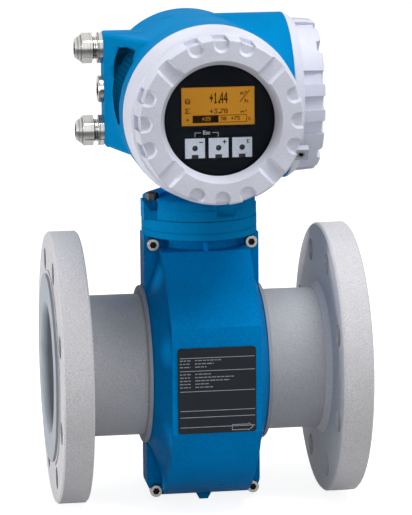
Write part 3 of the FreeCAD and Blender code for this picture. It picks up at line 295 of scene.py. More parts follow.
def plating_with_painted_reflection(name, shade, level, reach):
    """Plating with a painted reflection: a painted highlight above, painted shade below and painted light
    again at the foot, with turned bands along X darkened into painted dark reflections.

    The level is the height of the fitting's axis, and the reach is its radius.
    """
    finish = Finish(name, Metallic=1.0)
    x, _, z = finish.axes()
    # Painted highlight above the axis, painted shade just below it, painted light again near the foot.
    drop = level - z
    painted_shade_below = finish.spread(drop, -0.1 * reach, 0.04 * reach)
    painted_light_at_foot = finish.spread(drop, 0.2 * reach, 0.5 * reach)
    under = painted_shade_below - painted_light_at_foot * 0.45
    bands = finish.noise(2.0 * MM, 2.0, spot=finish.joined(x, 0, 0))
    smear = finish.noise(4 * MM, 3.0)
    # under is the painted shade mask: it runs the tint from the painted highlight to the painted shade.
    tint = finish.blend(under * 0.85 + smear * 0.15, toned(shade, 1.9), toned(shade, 0.22))
    # The bands' near-black share is a painted dark reflection.
    tint = finish.blend(finish.spread(bands, 0.5, 0.6) * 0.75, tint, toned(shade, 0.12))
    return finish.paint(Base_Color=tint, Roughness=0.16 + smear * 0.12,
                        Normal=finish.relief(bands, 0.04 * MM, finish.edges(0.35 * MM)))


def moulded(name, shade, roughness, grain=0.35 * MM, depth=0.03 * MM, gloss=0.2):
    """Moulded plastic or rubber with a fine even grain."""
    finish = Finish(name, Specular_IOR_Level=gloss)
    texture = finish.noise(grain, 1.0)
    broad = finish.noise(20 * MM)
    return finish.paint(Base_Color=finish.blend(broad, toned(shade, 0.85), toned(shade, 1.15)),
                        Roughness=roughness + texture * 0.15,
                        Normal=finish.relief(texture, depth, finish.edges(0.3 * MM)))


def wound_copper(name):
    """Enamelled wire in even layers round a vertical core."""
    finish = Finish(name, Metallic=0.7, Roughness=0.35, Coat_Weight=0.5)
    wire = 0.9 * MM
    _, _, z = finish.axes()
    turns = (z * (2 * math.pi / wire)).maths("SINE")
    shade = linear(190, 104, 52)
    patches = finish.noise(9 * MM)
    # Lighter on the crests of the turns and darker between them: painted shade between the turns.
    return finish.paint(Base_Color=finish.blend(turns * 0.4 + patches * 0.5, toned(shade, 0.6), shade),
                        Normal=finish.relief(turns, 0.15 * MM))


def stacked_iron(name):
    """Core iron with a thin oxide skin."""
    finish = Finish(name, Metallic=0.9)
    skin = finish.noise(5 * MM, 4.0)
    shade = linear(112, 113, 118)
    return finish.paint(Base_Color=finish.blend(skin, toned(shade, 0.6), toned(shade, 1.2)),
                        Roughness=0.35 + skin * 0.3,
                        Normal=finish.relief(finish.noise(0.5 * MM), 0.03 * MM, finish.edges(0.4 * MM)))


def clear_glass(name):
    """Flat pane: see-through, with a mirror's share that grows towards the edge of sight."""
    finish = Finish(name)
    clear = finish.node("ShaderNodeBsdfTransparent", {}, {})
    gloss = finish.node("ShaderNodeBsdfGlossy", {}, {"Roughness": 0.02})
    mirrored = finish.node("ShaderNodeFresnel", {}, {"IOR": 1.45}) * 0.06
    finish.tree.nodes.remove(finish.shader)
    finish.feed(finish.end.inputs["Surface"],
                finish.node("ShaderNodeMixShader", {}, {0: mirrored, 1: clear, 2: gloss}))
    return finish.material


def lit_ground(name, shade, low, high):
    """Backlit panel: an even glow, duller towards its lower left corner, over a fine grain."""
    finish = Finish(name, Roughness=0.3, Specular_IOR_Level=0.0, Emission_Strength=0.3)
    x, _, z = finish.axes()
    across = finish.spread(x, low.x, high.x)
    up = finish.spread(z, low.z, high.z)
    glow = finish.spread(across * 0.6 + up * 0.4, 0.0, 0.8)
    grain = finish.noise(0.7 * MM, 1.0)
    tint = finish.blend(glow, toned(shade, 0.82), toned(shade, 1.08))
    tint = finish.blend(grain * 0.25, tint, toned(shade, 0.6))
    return finish.paint(Base_Color=tint, Emission_Color=tint)


def speckled_print(name, shade):
    """Screen print with pale specks."""
    finish = Finish(name, Roughness=0.45, Specular_IOR_Level=0.1)
    specks = finish.spread(finish.noise(0.45 * MM, 2.0), 0.45, 0.62)
    return finish.paint(Base_Color=finish.blend(specks, toned(shade, 0.86), toned(shade, 1.25)),
                        Normal=finish.relief(specks, 0.01 * MM))


def printed_ink(name, shade, glow=0.0):
    """Ink film, thinner in places."""
    finish = Finish(name, Roughness=0.5, Specular_IOR_Level=0.0, Emission_Strength=glow)
    thin = finish.noise(0.6 * MM, 2.0)
    tint = finish.blend(thin, toned(shade, 0.8), toned(shade, 1.1))
    return finish.paint(Base_Color=tint, Emission_Color=tint)


def anodised(name, shade):
    """Dark anodised sheet brushed along X."""
    finish = Finish(name, Specular_IOR_Level=0.1)
    brush = finish.noise(0.35 * MM, 2.0, (0.04, 1, 1))
    broad = finish.noise(25 * MM)
    streaks = broad * 0.6 + brush * 0.4
    return finish.paint(Base_Color=finish.blend(streaks, toned(shade, 0.75), toned(shade, 1.3)),
                        Roughness=0.36 + brush * 0.15, Normal=finish.relief(brush, 0.006 * MM))


# ---------------------------------------------------------------- modelling helpers

def dress(finish, *nodes):
    """Give frame nodes a finish."""
    for name in nodes:
        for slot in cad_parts[name].material_slots:
            slot.material = finish


def placed(name, bm):
    """Put a shape into the scene as an object."""
    mesh = bpy.data.meshes.new(name)
    bm.to_mesh(mesh)
    bm.free()
    made = bpy.data.objects.new(name, mesh)
    bpy.context.scene.collection.objects.link(made)
    return made


def finished(bm, name, finish, body, smooth=35, covers=()):
    """Make a shape a piece: finish, body that it moves with, and the nodes that it stands for."""
    piece = placed(name, bm)
    piece.data.shade_smooth()
    piece.data.set_sharp_from_angle(angle=math.radians(smooth))
    piece.data.materials.append(finish)
    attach(piece, body)
    if covers:
        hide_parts(*covers)
    return piece


def slab(bm, low, high):
    """Thin box between two corners."""
    low, high = Vector(low), Vector(high)
    size = high - low
    place = Matrix.Translation((low + high) / 2) @ Matrix.Diagonal((*size, 1))
    bmesh.ops.create_cube(bm, size=1, matrix=place)


def lathe(bm, outline, centre, axis, steps):
    """Turn an outline of (radius, height along the axis) into a closed ring."""
    across = axis.orthogonal().normalized()
    corners = [bm.verts.new(centre + across * radius + axis * height) for radius, height in outline]
    edges = [bm.edges.new((a, b)) for a, b in zip(corners, corners[1:] + corners[:1])]
    bmesh.ops.spin(bm, geom=corners + edges, cent=centre, axis=axis, angle=2 * math.pi, steps=steps,
                   use_merge=True, use_duplicate=False)
    bmesh.ops.remove_doubles(bm, verts=bm.verts, dist=MERGE)
    bmesh.ops.recalc_face_normals(bm, faces=bm.faces)


def thread(bm, radius, pitch, depth, start, axis, turns, steps=40):
    """Ridge that winds round a cylinder, its foot sunk a little into it."""
    across = axis.orthogonal().normalized()
    foot, half = radius - depth * 0.3, pitch * 0.42
    corners = [bm.verts.new(start + across * reach + axis * height)
               for reach, height in ((foot, -half), (radius + depth, 0), (foot, half))]
    face = bm.faces.new(corners)
    bmesh.ops.spin(bm, geom=[face, *face.edges, *corners], cent=start, axis=axis,
                   dvec=axis * (pitch / steps), angle=2 * math.pi * turns, steps=round(steps * turns),
                   use_merge=False, use_duplicate=False)
    bmesh.ops.recalc_face_normals(bm, faces=bm.faces)


def lettering(bm, words, height, centre, film):
    """Raised flat letters that face the front; height is that of the capitals."""
    curve = bpy.data.curves.new("letters", "FONT")
    curve.body = words
    curve.size = height * 1.4
    curve.extrude = film / 2
    curve.offset = height * 0.018
    curve.align_x = "CENTER"
    curve.align_y = "CENTER"
    letters = bpy.data.objects.new("letters", curve)
    mesh = bpy.data.meshes.new_from_object(letters)
    mesh.transform(Matrix.Translation(centre) @ Matrix.Rotation(math.pi / 2, 4, "X"))
    bm.from_mesh(mesh)
    bpy.data.objects.remove(letters)
    bpy.data.curves.remove(curve)
    bpy.data.meshes.remove(mesh)


# Characters of five by seven dots: a row of dots is one byte, from the top down
GLYPHS = {
    "0": "0E11131519110E", "1": "040C040404040E", "2": "0E11010204081F", "3": "1F02040201110E",
    "4": "02060A121F0202", "5": "1F101E0101110E", "7": "1F010204080808", "8": "0E11110E11110E",
    "+": "0004041F040400", ".": "00000000000C0C", "%": "18190204081303", "'": "0C040804000000",
    "m": "00001A15151111", "h": "10101619111111", "S": "1F10080408101F", "Q": "0E11111115120D",
    "E": "1F10101E10101F",
}
COLUMNS, ROWS = 5, 7
NARROW = {".": 3, "'": 4}
DOT_SPREAD = Vector((1.5, 1.02))


def reading(bm, words, left, bottom, front, wide, high, film):
    """Characters made of dots; each dot is wide by high, and left and bottom give the first corner."""
    for letter in words:
        for number, row in enumerate(bytes.fromhex(GLYPHS[letter])):
            foot = bottom + (ROWS - 1 - number) * high
            for column in range(COLUMNS):
                if row >> (COLUMNS - 1 - column) & 1:
                    start = left + column * wide
                    slab(bm, (start, front - film, foot),
                         (start + wide * DOT_SPREAD.x, front, foot + high * DOT_SPREAD.y))
        left += wide * NARROW.get(letter, COLUMNS + 1)


def drum(name, radius, centre, reach=400 * MM):
    """Cylinder along Y, longer than the casting."""
    bm = bmesh.new()
    place = Matrix.Translation(centre) @ Matrix.Rotation(math.pi / 2, 4, "X")
    bmesh.ops.create_cone(bm, cap_ends=True, segments=128, radius1=radius, radius2=radius, depth=reach,
                          matrix=place)
    return placed(name, bm)


def prism(name, outline, left, right):
    """Solid over a closed outline of (y, z), from left to right."""
    bm = bmesh.new()
    end = bm.faces.new([bm.verts.new((left, y, z)) for y, z in outline])
    grown = bmesh.ops.extrude_face_region(bm, geom=[end])["geom"]
    corners = [item for item in grown if isinstance(item, bmesh.types.BMVert)]
    bmesh.ops.translate(bm, verts=corners, vec=(right - left, 0, 0))
    bmesh.ops.recalc_face_normals(bm, faces=bm.faces)
    return placed(name, bm)


def bowed(first, last, bow, steps=12):
    """Points from first to last on a curve that stands out by its bow to the left of the way."""
    side = Vector((first.y - last.y, last.x - first.x)).normalized() * bow
    return [first.lerp(last, step / steps) + side * (4 * step * (steps - step) / steps ** 2)
            for step in range(steps + 1)]


def combine(shape, *steps, crossed=False):
    """Cut a shape by others or keep it within them; crossed says that its own parts cross each other."""
    for operation, other in steps:
        cut = shape.modifiers.new(operation.lower(), "BOOLEAN")
        cut.operation = operation
        cut.solver = "EXACT"
        cut.use_self = crossed
        cut.object = other


def result(shape):
    """The shape as its modifiers leave it."""
    bm = bmesh.new()
    bm.from_object(shape, bpy.context.evaluated_depsgraph_get())
    return bm


# ---------------------------------------------------------------- operators

class METER_OT_castings(bpy.types.Operator):
    """Paint the shell halves, the neck ring and the transmitter housing"""
    bl_idname = "meter.castings"
    bl_label = "Castings"

    # The recess in the web: its outline in millimetres behind and above the display barrel's axis
    rear_top, rear_foot, rear_bow = (-2.5, 45.2), (5.5, 13.0), 5.4
    front_corners = ((-21, -6), (-36, -12), (-48.5, -8), (-48.5, 37.6), (-12.5, 46.2))
    right_end = -30 * MM
    floor_radius = 62 * MM
    # The ribs on its floor
    crest_radius = 68.4 * MM
    rib_pitch, rib_width, rib_length = 5.6 * MM, 0.7 * MM, 150 * MM
    rib_tilt = math.radians(38)
    ribs_each_side = 12
    ribs_middle = Vector((0, -20, 17)) * MM

    def execute(self, context):
        paint = context.scene.meter_paint
        shell = cast_paint("shell_paint", paint.casting, paint.shell_grain, depth=0.6 * MM, roughness=0.34,
                           gloss=0.004, edge=1.2 * MM)
        housing = cast_paint("housing_paint", paint.housing, paint.housing_grain, depth=0.08 * MM,
                             roughness=0.32, gloss=0.0008)
        dress(shell, "front_shell", "back_shell")
        dress(housing, "neck_ring")
        cover_low, cover_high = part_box("display_cover")
        axis = Vector((0, 0, (cover_low.z + cover_high.z) / 2))
        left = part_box("electronics_housing")[0].x - 20 * MM
        rear = bowed(Vector(self.rear_top), Vector(self.rear_foot), self.rear_bow)
        outline = [(y * MM, axis.z + z * MM) for y, z in (*rear, *self.front_corners)]
        tool = prism("recess_tool", outline, left, self.right_end)
        floor = drum("recess_floor", self.floor_radius, axis)
        self.lattice(paint.housing, tool, floor, axis, left)
        self.recess(paint.housing, housing, tool, floor)
        for spare in (tool, floor):
            bpy.data.objects.remove(spare)
        return {"FINISHED"}

    def lattice(self, shade, tool, floor, axis, left):
        """Crossed ribs on the floor of the recess, darkened with painted shade."""
        bars = bmesh.new()
        middle = axis + self.ribs_middle + X * (left + self.right_end) / 2
        size = Matrix.Diagonal((self.right_end - left, self.rib_width, self.rib_length, 1))
        for tilt in (-self.rib_tilt, self.rib_tilt):
            turned = Matrix.Rotation(tilt, 4, "X")
            for number in range(-self.ribs_each_side, self.ribs_each_side + 1):
                place = Matrix.Translation(middle + Y * number * self.rib_pitch)
                bmesh.ops.create_cube(bars, size=1, matrix=place @ turned @ size)
        ribs, crest = placed("bars", bars), drum("rib_crest", self.crest_radius, axis)
        combine(ribs, ("INTERSECT", tool), ("INTERSECT", crest), ("DIFFERENCE", floor), crossed=True)
        # The ribs take half the housing paint's brightness: painted shade of the recess.
        coat = cast_paint("lattice_painted_shade", toned(shade, 0.5), 0.9 * MM, depth=0.05 * MM, roughness=0.5,
                          gloss=0.0)
        finished(result(ribs), "web_lattice", coat, "transmitter", 30)
        for spare in (ribs, crest):
            bpy.data.objects.remove(spare)

    def recess(self, shade, housing, tool, floor):
        """The casting with a recess in the web between its cable block and its display barrel, the recess's
        walls and floor in painted shade.
        """
        # The recess's walls and floor take a sixth of the housing paint's brightness: painted shade.
        painted_recess_shade = cast_paint("recess_painted_shade", toned(shade, 0.16), 0.9 * MM, depth=0.05 * MM, roughness=0.6,
                            gloss=0.0)
        whole = bmesh.new()
        whole.from_mesh(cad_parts["electronics_housing"].data)
        bmesh.ops.remove_doubles(whole, verts=whole.verts, dist=MERGE)
        blank = placed("casting_blank", whole)
        for shape in (blank, tool, floor):
            shape.data.materials.append(housing)
            shape.data.materials.append(painted_recess_shade)
        for face in (*tool.data.polygons, *floor.data.polygons):
            face.material_index = 1
        combine(tool, ("DIFFERENCE", floor))
        combine(blank, ("DIFFERENCE", tool))
        piece = finished(result(blank), "transmitter_casting", housing, "transmitter", 30,
                         ("electronics_housing",))
        piece.data.materials.append(painted_recess_shade)
        even = piece.modifiers.new("even_normals", "WEIGHTED_NORMAL")
        even.keep_sharp = True
        bpy.data.objects.remove(blank)


class METER_OT_covers(bpy.types.Operator):
    """Coat the two covers and the claw, and cut the covers' threads"""
    bl_idname = "meter.covers"
    bl_label = "Covers"

    def execute(self, context):
        shade = context.scene.meter_paint.cover
        texture = {"grain": 0.7 * MM, "depth": 0.05 * MM, "roughness": 0.42, "gloss": 0.2}
        coat = cast_paint("cover_coat", shade, **texture)
        dress(coat, "display_cover", "connection_cover")
        # The claw takes a darker copy of the cover coat: painted shade that dulls the light on its top face.
        dress(cast_paint("claw_painted_shade", toned(shade, 0.75), **texture), "cover_clamp")
        for node, axis in (("display_cover", -Y), ("connection_cover", X)):
            low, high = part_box(node)
            seal_low, seal_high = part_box(node + "_seal")
            centre = (seal_low + seal_high) / 2
            radius = (seal_high - seal_low).z / 2
            foot = low if axis.dot(X) > 0 else high
            start = centre + axis * ((foot - centre).dot(axis) + 2 * MM)
            bm = bmesh.new()
            thread(bm, radius - 0.15 * MM, pitch=2 * MM, depth=0.2 * MM, start=start, axis=axis, turns=2.5,
                   steps=96)
            finished(bm, node + "_thread", coat, node, 20)
        return {"FINISHED"}


class METER_OT_tube(bpy.types.Operator):
    """Finish the measuring tube, the flanges, the liner and the tube seals"""
    bl_idname = "meter.tube"
    bl_label = "Tube and flanges"

    def execute(self, context):
        paint = context.scene.meter_paint
        dress(blasted_steel("tube_steel", paint.tube, paint.blast_grain), "measuring_tube")
        dress(blasted_steel("flange_steel", paint.flange, paint.blast_grain), "inlet_flange", "outlet_flange")
        dress(moulded("liner_skin", paint.liner, 0.4, grain=0.6 * MM),
              "tube_liner", "inlet_liner_face", "outlet_liner_face")
        dress(moulded("collar_rubber", paint.collar, 0.6), "inlet_seal", "outlet_seal")
        return {"FINISHED"}


class METER_OT_fittings(bpy.types.Operator):
    """Finish the cable glands, the plug, the screws and the seals, and cut the glands' threads"""
    bl_idname = "meter.fittings"
    bl_label = "Glands, screws and seals"

    shell_screw_head = 5 * MM
    key_share, depth_share = 0.555, 0.55

    def execute(self, context):
        shade, nickel = context.scene.meter_paint.nickel, {}
        for fitting, nodes in (("lower_gland", ("lower_gland", "lower_gland_nut")),
                               ("upper_gland", ("upper_gland", "upper_gland_nut")),
                               ("blanking_plug", ("blanking_plug",))):
            low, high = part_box(fitting)
            level, reach = (low.z + high.z) / 2, (high.z - low.z) / 2
            nickel[fitting] = plating_with_painted_reflection(fitting + "_plate", shade, level, reach)
            dress(nickel[fitting], *nodes)
        dress(plated("bright_steel", linear(150, 148, 144), 0.25),
              "shell_screws", "cover_clamp_screw", "terminal_screws")
        self.sockets()
        dress(plated("black_oxide", linear(62, 62, 66), 0.3), "turn_lock_screw")
        dress(moulded("black_rubber", linear(34, 34, 36), 0.6), "neck_seal", "display_cover_seal",
              "connection_cover_seal", "lower_gland_seal", "upper_gland_seal")
        for gland in ("lower_gland", "upper_gland"):
            self.gland_threads(gland, nickel[gland])
        return {"FINISHED"}

    def gland_threads(self, gland, finish):
        """Threads on a gland's body: one into the housing, and one under the nut."""
        low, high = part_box(gland)
        centre = (low + high) / 2
        nut_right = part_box(gland + "_nut")[1].x
        bm = bmesh.new()
        for left, radius, depth, turns in ((nut_right + 0.4 * MM, 8.8 * MM, 0.5 * MM, 2.3),
                                           (low.x + 0.8 * MM, 7.55 * MM, 0.25 * MM, 4.5)):
            thread(bm, radius, pitch=1.5 * MM, depth=depth, start=Vector((left, centre.y, centre.z)), axis=X,
                   turns=turns)
        finished(bm, gland + "_thread", finish, "transmitter", 20)

    def sockets(self):
        """Dark cups in the hexagon sockets of the shell screws and the claw's screw: painted shade on the
        sockets' walls and floors.
        """
        # The dark cups are painted shade in the depth of the sockets.
        black = moulded("socket_painted_shade", linear(24, 24, 26), 0.6)
        for node, body in (("shell_screws", "sensor"), ("cover_clamp_screw", "transmitter")):
            low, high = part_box(node)
            head = self.shell_screw_head if node == "shell_screws" else (high.x - low.x) / 2
            key, depth = head * self.key_share, head * self.depth_share
            bm = bmesh.new()
            for x in sorted({round(low.x + head, 6), round(high.x - head, 6)}):
                for z in sorted({round(low.z + head, 6), round(high.z - head, 6)}):
                    centre = Vector((x, low.y + depth / 2 + 0.02 * MM, z))
                    place = Matrix.Translation(centre) @ Matrix.Rotation(math.pi / 2, 4, "X")
                    bmesh.ops.create_cone(bm, cap_ends=True, segments=6, radius1=key, radius2=key,
                                          depth=depth, matrix=place)
            mouths = [face for face in bm.faces if face.calc_center_median().y < low.y + 0.05 * MM]
            bmesh.ops.delete(bm, geom=mouths, context="FACES_ONLY")
            finished(bm, node + "_sockets", black, body, 20)


class METER_OT_display(bpy.types.Operator):
    """Light the display, write its readings and print the touch fields"""
    bl_idname = "meter.display"
    bl_label = "Display"

    # Characters; their left edge from the middle and their foot below the top, in millimetres;
    # and the width of a dot, in pitches, and its height, in millimetres
    rows = (
        ("+1.44", -6.5, 12.7, 1.08, 1.22),
        ("+3.78", -6.5, 20.4, 1.08, 0.52),
        ("Q", -25.4, 12.8, 1.5, 0.57),
        ("S", -25.4, 20.1, 1.5, 0.58),
        ("m'", 17.2, 6.6, 1.0, 0.42),
        ("h", 20.6, 12.6, 1.0, 0.42),
        ("m'", 17.4, 20.4, 1.0, 0.32),
        ("%", 23.0, 26.4, 0.8, 0.38),
        ("+", -24.8, 26.2, 1.0, 0.4),
    )
    # The stroke between the unit and its hour: steps, and the size of one step
    stroke_left, stroke_foot, stroke_steps = 16.8 * MM, 12.0 * MM, 9
    stroke_step, stroke_dot = Vector((0.85, 0, 1.0)) * MM, Vector((0.8, 0, 1.0)) * MM
    # The bar: its edges from the middle and below the top, and how much of it is full
    bar_left, bar_right = -19.7 * MM, 22.2 * MM
    bar_head, bar_foot = 21.6 * MM, 27.4 * MM
    bar_rim, bar_full = 0.45 * MM, 0.48
    digit_foot, digit_wide, digit_high = 1.6 * MM, 0.8, 0.42 * MM

    def execute(self, context):
        paint, marks = context.scene.meter_paint, context.scene.meter_print
        low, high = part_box("lcd_panel")
        dress(lit_ground("lit_panel", paint.backlight, low, high), "lcd_panel")
        dress(moulded("display_face", paint.face, 0.3, grain=0.5 * MM, depth=0.004 * MM, gloss=0.0),
              "display_frame")
        dress(speckled_print("touch_print", paint.key), "left_key", "middle_key", "right_key")
        dress(clear_glass("pane_glass"), "cover_glass")
        dress(moulded("ring_plastic", linear(40, 40, 42), 0.5), "glass_ring")
        self.readings(low, high, marks)
        self.escape_bracket(marks.film)
        self.key_prints(marks.film)
        return {"FINISHED"}

    def readings(self, low, high, marks):
        """Flow, total, units and bar, as dots on the lit panel."""
        dot, film, front = marks.dot, marks.film, low.y
        middle, top = (low.x + high.x) / 2, high.z
        bm = bmesh.new()
        for words, across, down, wide, tall in self.rows:
            reading(bm, words, middle + across * MM, top - down * MM, front, dot * wide, tall * MM, film)
        stroke = Vector((middle + self.stroke_left, front, top - self.stroke_foot))
        for step in range(self.stroke_steps):
            start = stroke + self.stroke_step * step
            slab(bm, start - film * Y, start + self.stroke_dot)
        left, right = middle + self.bar_left, middle + self.bar_right
        head, foot, rim = top - self.bar_head, top - self.bar_foot, self.bar_rim
        full = left + (right - left) * self.bar_full
        for box_low, box_high in (((left, head - rim), (right, head)), ((left, foot), (right, foot + rim)),
                                  ((right - rim, foot), (right, head)), ((left, foot), (full, head))):
            slab(bm, (box_low[0], front - film, box_low[1]), (box_high[0], front, box_high[1]))
        level, wide = foot + self.digit_foot, dot * self.digit_wide
        for words, across in (("50", 1.5), ("+75", 9.5)):
            reading(bm, words, full + across * MM, level, front, wide, self.digit_high, film)
        finished(bm, "lcd_readings", printed_ink("reading_dots", linear(38, 26, 8)), "display")
        bm = bmesh.new()
        reading(bm, "+25", full - 13.0 * MM, level, front - film, wide, self.digit_high, film)
        gaps = printed_ink("reading_gaps", linear(168, 116, 36), glow=0.3)
        finished(bm, "lcd_bar_digits", gaps, "display")

    def escape_bracket(self, film):
        """Bracket and word over the two keys that are pressed together."""
        left_low, left_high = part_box("left_key")
        mid_low, mid_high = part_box("middle_key")
        front, rim, gap = left_high.y, 0.32 * MM, 4.4 * MM
        left, right = (left_low.x + left_high.x) / 2, (mid_low.x + mid_high.x) / 2
        line, foot = left_high.z + 4.4 * MM, left_high.z + 0.9 * MM
        middle = (left + right) / 2
        bm = bmesh.new()
        for start, end in ((left, middle - gap), (middle + gap, right)):
            slab(bm, (start, front - film, line - rim), (end, front, line))
        for side in (left, right - rim):
            slab(bm, (side, front - film, foot), (side + rim, front, line))
        lettering(bm, "Esc", 3.1 * MM, Vector((middle, front - film / 2, line - 0.2 * MM)), film)
        finished(bm, "escape_bracket", printed_ink("pale_print", linear(196, 200, 206)), "display")

    def key_prints(self, film):
        """Sign, lens and sensor window of each touch field."""
        signs, lenses = bmesh.new(), bmesh.new()
        across, up = Vector((1.5 * MM, film / 2, 0.4 * MM)), Vector((0.4 * MM, film / 2, 1.5 * MM))
        outline = [(0.02 * MM, 0), (2.1 * MM, 0), (2.1 * MM, 0.2 * MM), (1.5 * MM, 0.45 * MM),
                   (0.02 * MM, 0.5 * MM)]
        for key, strokes in (("left_key", (across,)), ("middle_key", (across, up)), ("right_key", ())):
            low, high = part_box(key)
            spot = Vector((high.x - 2.9 * MM, low.y - film / 2, high.z - 3.0 * MM))
            for corner in strokes:
                slab(signs, spot - corner, spot + corner)
            if key == "right_key":
                reading(signs, "E", spot.x - 1.1 * MM, spot.z - 1.5 * MM, low.y, 0.46 * MM, 0.44 * MM, film)
            centre = Vector(((low.x + high.x) / 2, high.y, (low.z + high.z) / 2))
            lathe(lenses, outline, centre, -Y, 32)
            foot = Vector((centre.x, high.y, low.z))
            slab(lenses, foot + Vector((-2.5, -0.35, -0.4)) * MM, foot + Vector((2.5, 0, 2.4)) * MM)
        finished(signs, "key_signs", printed_ink("dark_print", linear(28, 30, 36)), "display")
        finished(lenses, "key_lenses", moulded("lens_plastic", linear(24, 34, 34), 0.12), "display")


class METER_OT_plate(bpy.types.Operator):
    """Finish the name plate and print its rules, blank entry lines and flow arrow"""
    bl_idname = "meter.plate"
    bl_label = "Name plate"

    left_margin, right_margin = 1.6 * MM, 1.2 * MM
    # In millimetres down from the plate's top edge
    rules_down = (7.6, 18.0, 34.4, 50.0, 55.2, 63.2)
    arrow_top, arrow_bottom, arrow_barb = 62.2, 66.4, 3.0
    entries_down, entry_pitch, entry_break = 9.4, 2.6, 3.2
    # In millimetres from the plate's right edge
    arrow_start, arrow_neck, arrow_tip = 19.5, 6.5, 2.6
    # Widths of the entries' values, in shares of the plate
    reaches = (0.5, 0.36, 0.22, 0.3, 0.74, 0.66, 0.26, 0.34, 0.2)
    reach_share = 0.7

    def execute(self, context):
        marks = context.scene.meter_print
        dress(anodised("dark_plate", context.scene.meter_paint.plate), "nameplate")
        low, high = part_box("nameplate")
        left, right = low.x + self.left_margin, high.x - self.right_margin
        rules, entries = bmesh.new(), bmesh.new()
        for down in self.rules_down:
            self.line(rules, left, right, down * MM, marks.rule, marks.film)
        self.arrow(rules, marks.rule, marks.film)
        self.entries(entries, left, right, marks)
        finished(rules, "plate_rules", printed_ink("plate_print", linear(178, 182, 188)), "sensor")
        finished(entries, "plate_entries", printed_ink("faint_print", linear(150, 154, 160)), "sensor")
        return {"FINISHED"}

    def line(self, bm, start, end, down, width, film):
        """Printed line across the plate, down from its top edge."""
        low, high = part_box("nameplate")
        slab(bm, (start, low.y - film, high.z - down - width), (end, low.y, high.z - down))

    def arrow(self, bm, rule, film):
        """Outline of the arrow that shows the way of the flow."""
        low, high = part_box("nameplate")
        top, bottom = self.arrow_top * MM, self.arrow_bottom * MM
        start, neck = high.x - self.arrow_start * MM, high.x - self.arrow_neck * MM
        self.line(bm, start, neck, top, rule, film)
        self.line(bm, start, neck, bottom, rule, film)
        slab(bm, (start, low.y - film, high.z - bottom), (start + rule, low.y, high.z - top))
        tip = Vector((high.x - self.arrow_tip * MM, low.y - film / 2, high.z - (top + bottom) / 2))
        for side in (1, -1):
            barb = Vector((neck, tip.y, tip.z + side * self.arrow_barb * MM))
            run = tip - barb
            turn = Matrix.Rotation(-math.atan2(run.z, run.x), 4, "Y")
            place = Matrix.Translation((tip + barb) / 2) @ turn @ Matrix.Diagonal((run.length, film, rule, 1))
            bmesh.ops.create_cube(bm, size=1, matrix=place)

    def entries(self, bm, left, right, marks):
        """Headings and values that say nothing: lines broken into dashes as long as words."""
        random = Random(7)
        values = left + 12 * MM
        for number in range(marks.entries):
            gap = self.entry_break if number > 2 else 0
            down = (self.entries_down + number * self.entry_pitch + gap) * MM
            reach = self.reaches[number % len(self.reaches)]
            ends = values + (right - left) * reach * self.reach_share
            for start, end in ((left, left + 8.5 * MM), (values, ends)):
                while start < end:
                    word = (1.6 + 2.6 * random.random()) * MM
                    self.line(bm, start, min(start + word, end), down, 0.75 * MM, marks.film)
                    start += word + 0.7 * MM


class METER_OT_inside(bpy.types.Operator):
    """Finish the electrodes, the field coils, the electronics and the terminals"""
    bl_idname = "meter.inside"
    bl_label = "Inner pieces"

    def execute(self, context):
        for side in ("front", "back"):
            dress(plated(side + "_alloy", linear(214, 210, 202), 0.12),
                  side + "_electrode", side + "_electrode_nut")
        dress(moulded("bush_resin", linear(222, 214, 190), 0.45),
              "front_electrode_bush", "back_electrode_bush")
        dress(wound_copper("coil_wire"), "upper_coil", "lower_coil")
        dress(stacked_iron("core_iron"), "upper_pole", "lower_pole", "field_yoke")
        dress(moulded("potting", linear(46, 47, 50), 0.4), "electronics_module", "terminal_carrier")
        dress(moulded("terminal_plastic", linear(74, 132, 92), 0.4), "terminal_block")
        return {"FINISHED"}


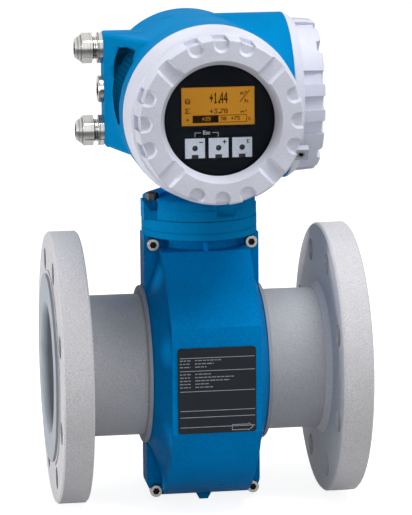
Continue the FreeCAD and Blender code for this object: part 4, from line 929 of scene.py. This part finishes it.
class METER_OT_stage(bpy.types.Operator):
    """Set the floor, the even light, the lamps and the camera"""
    bl_idname = "meter.stage"
    bl_label = "Stage"

    def execute(self, context):
        stage = context.scene.meter_stage
        context.scene.view_settings.view_transform = "Standard"
        self.floor(stage.floor)
        self.sky(context.scene, stage.sky)
        middle = (CAD_BOX[0] + CAD_BOX[1]) / 2
        for name, spot, size, watts in (("left_lamp", (-2.65, -0.1, 0.3), 0.6, stage.left),
                                        ("front_lamp", (0.0, -2.8, 0.9), 1.2, stage.front),
                                        ("right_lamp", (2.2, -1.3, 0.5), 1.2, stage.right),
                                        ("top_lamp", (0.55, -0.6, 2.2), 1.3, stage.top)):
            light = bpy.data.lights.new(name, "AREA")
            light.size = size
            light.energy = watts
            lamp = bpy.data.objects.new(name, light)
            lamp.location = spot
            lamp.rotation_euler = (middle - Vector(spot)).to_track_quat("-Z", "Y").to_euler()
            context.scene.collection.objects.link(lamp)
        self.camera(context.scene)
        return {"FINISHED"}

    def floor(self, shade):
        """Pale paper under the meter, lit up for the camera and in reflections."""
        bm = bmesh.new()
        bmesh.ops.create_grid(bm, x_segments=4, y_segments=4, size=8)
        bmesh.ops.translate(bm, verts=bm.verts, vec=(0, 0, CAD_BOX[0].z))
        finish = Finish("floor_paper", Roughness=0.9, Emission_Color=(1, 1, 1, 1))
        glow = finish.rays("Is Camera Ray", "Is Glossy Ray") * 0.86
        tint = finish.blend(finish.noise(0.4), toned(shade, 0.98), shade)
        floor = placed("floor", bm)
        floor.data.materials.append(finish.paint(Base_Color=tint, Emission_Strength=glow))

    def sky(self, scene, strength):
        """Even light that shows as white to the camera, in reflections and through glass."""
        world = bpy.data.worlds.new("studio")
        scene.world = world
        world.use_nodes = True
        ground = world.node_tree.nodes["Background"]
        nodes = Nodes(world.node_tree)
        seen = nodes.rays("Is Camera Ray", "Is Glossy Ray", "Is Transmission Ray")
        level = nodes.node("ShaderNodeMapRange", {}, {"Value": seen, "To Min": strength, "To Max": 1.0})
        nodes.feed(ground.inputs["Color"], (1, 1, 1, 1))
        nodes.feed(ground.inputs["Strength"], level)

    def camera(self, scene):
        """View slightly from the left and above, with a long lens."""
        place = Vector((-0.3136, -2.1623, 0.4956))
        forward = Vector((0.1435, 0.9723, -0.1843)).normalized()
        roll = math.radians(-0.53)
        level_right = forward.cross(Z).normalized()
        level_up = level_right.cross(forward)
        right = math.cos(roll) * level_right + math.sin(roll) * level_up
        up = math.cos(roll) * level_up - math.sin(roll) * level_right
        data = bpy.data.cameras.new("camera")
        data.lens = 192.1
        data.sensor_width = 36
        data.clip_start = 0.05
        data.clip_end = 50
        camera = bpy.data.objects.new("camera", data)
        turn = Matrix((right, up, -forward)).transposed().to_4x4()
        camera.matrix_world = Matrix.Translation(place) @ turn
        scene.collection.objects.link(camera)
        scene.camera = camera


STEPS = (METER_OT_castings, METER_OT_covers, METER_OT_tube, METER_OT_fittings, METER_OT_display,
         METER_OT_plate, METER_OT_inside, METER_OT_stage)


class METER_PT_looks(bpy.types.Panel):
    """Lists the steps that dress the meter"""
    bl_idname = "METER_PT_looks"
    bl_label = "Flow Meter"
    bl_space_type = "VIEW_3D"
    bl_region_type = "UI"
    bl_category = "Flow Meter"

    def draw(self, context):
        for group in (context.scene.meter_paint, context.scene.meter_print, context.scene.meter_stage):
            box = self.layout.box()
            for name in group.__annotations__:
                box.prop(group, name)
        for step in STEPS:
            self.layout.operator(step.bl_idname)


CLASSES = (MeterPaint, MeterPrint, MeterStage, *STEPS, METER_PT_looks)


def register():
    for item in CLASSES:
        bpy.utils.register_class(item)
    bpy.types.Scene.meter_paint = PointerProperty(type=MeterPaint)
    bpy.types.Scene.meter_print = PointerProperty(type=MeterPrint)
    bpy.types.Scene.meter_stage = PointerProperty(type=MeterStage)


def unregister():
    del bpy.types.Scene.meter_paint, bpy.types.Scene.meter_print, bpy.types.Scene.meter_stage
    for item in reversed(CLASSES):
        bpy.utils.unregister_class(item)


def main():
    register()
    bpy.ops.meter.castings()
    bpy.ops.meter.covers()
    bpy.ops.meter.tube()
    bpy.ops.meter.fittings()
    bpy.ops.meter.display()
    bpy.ops.meter.plate()
    bpy.ops.meter.inside()
    bpy.ops.meter.stage()


if __name__ == "__main__":
    main()
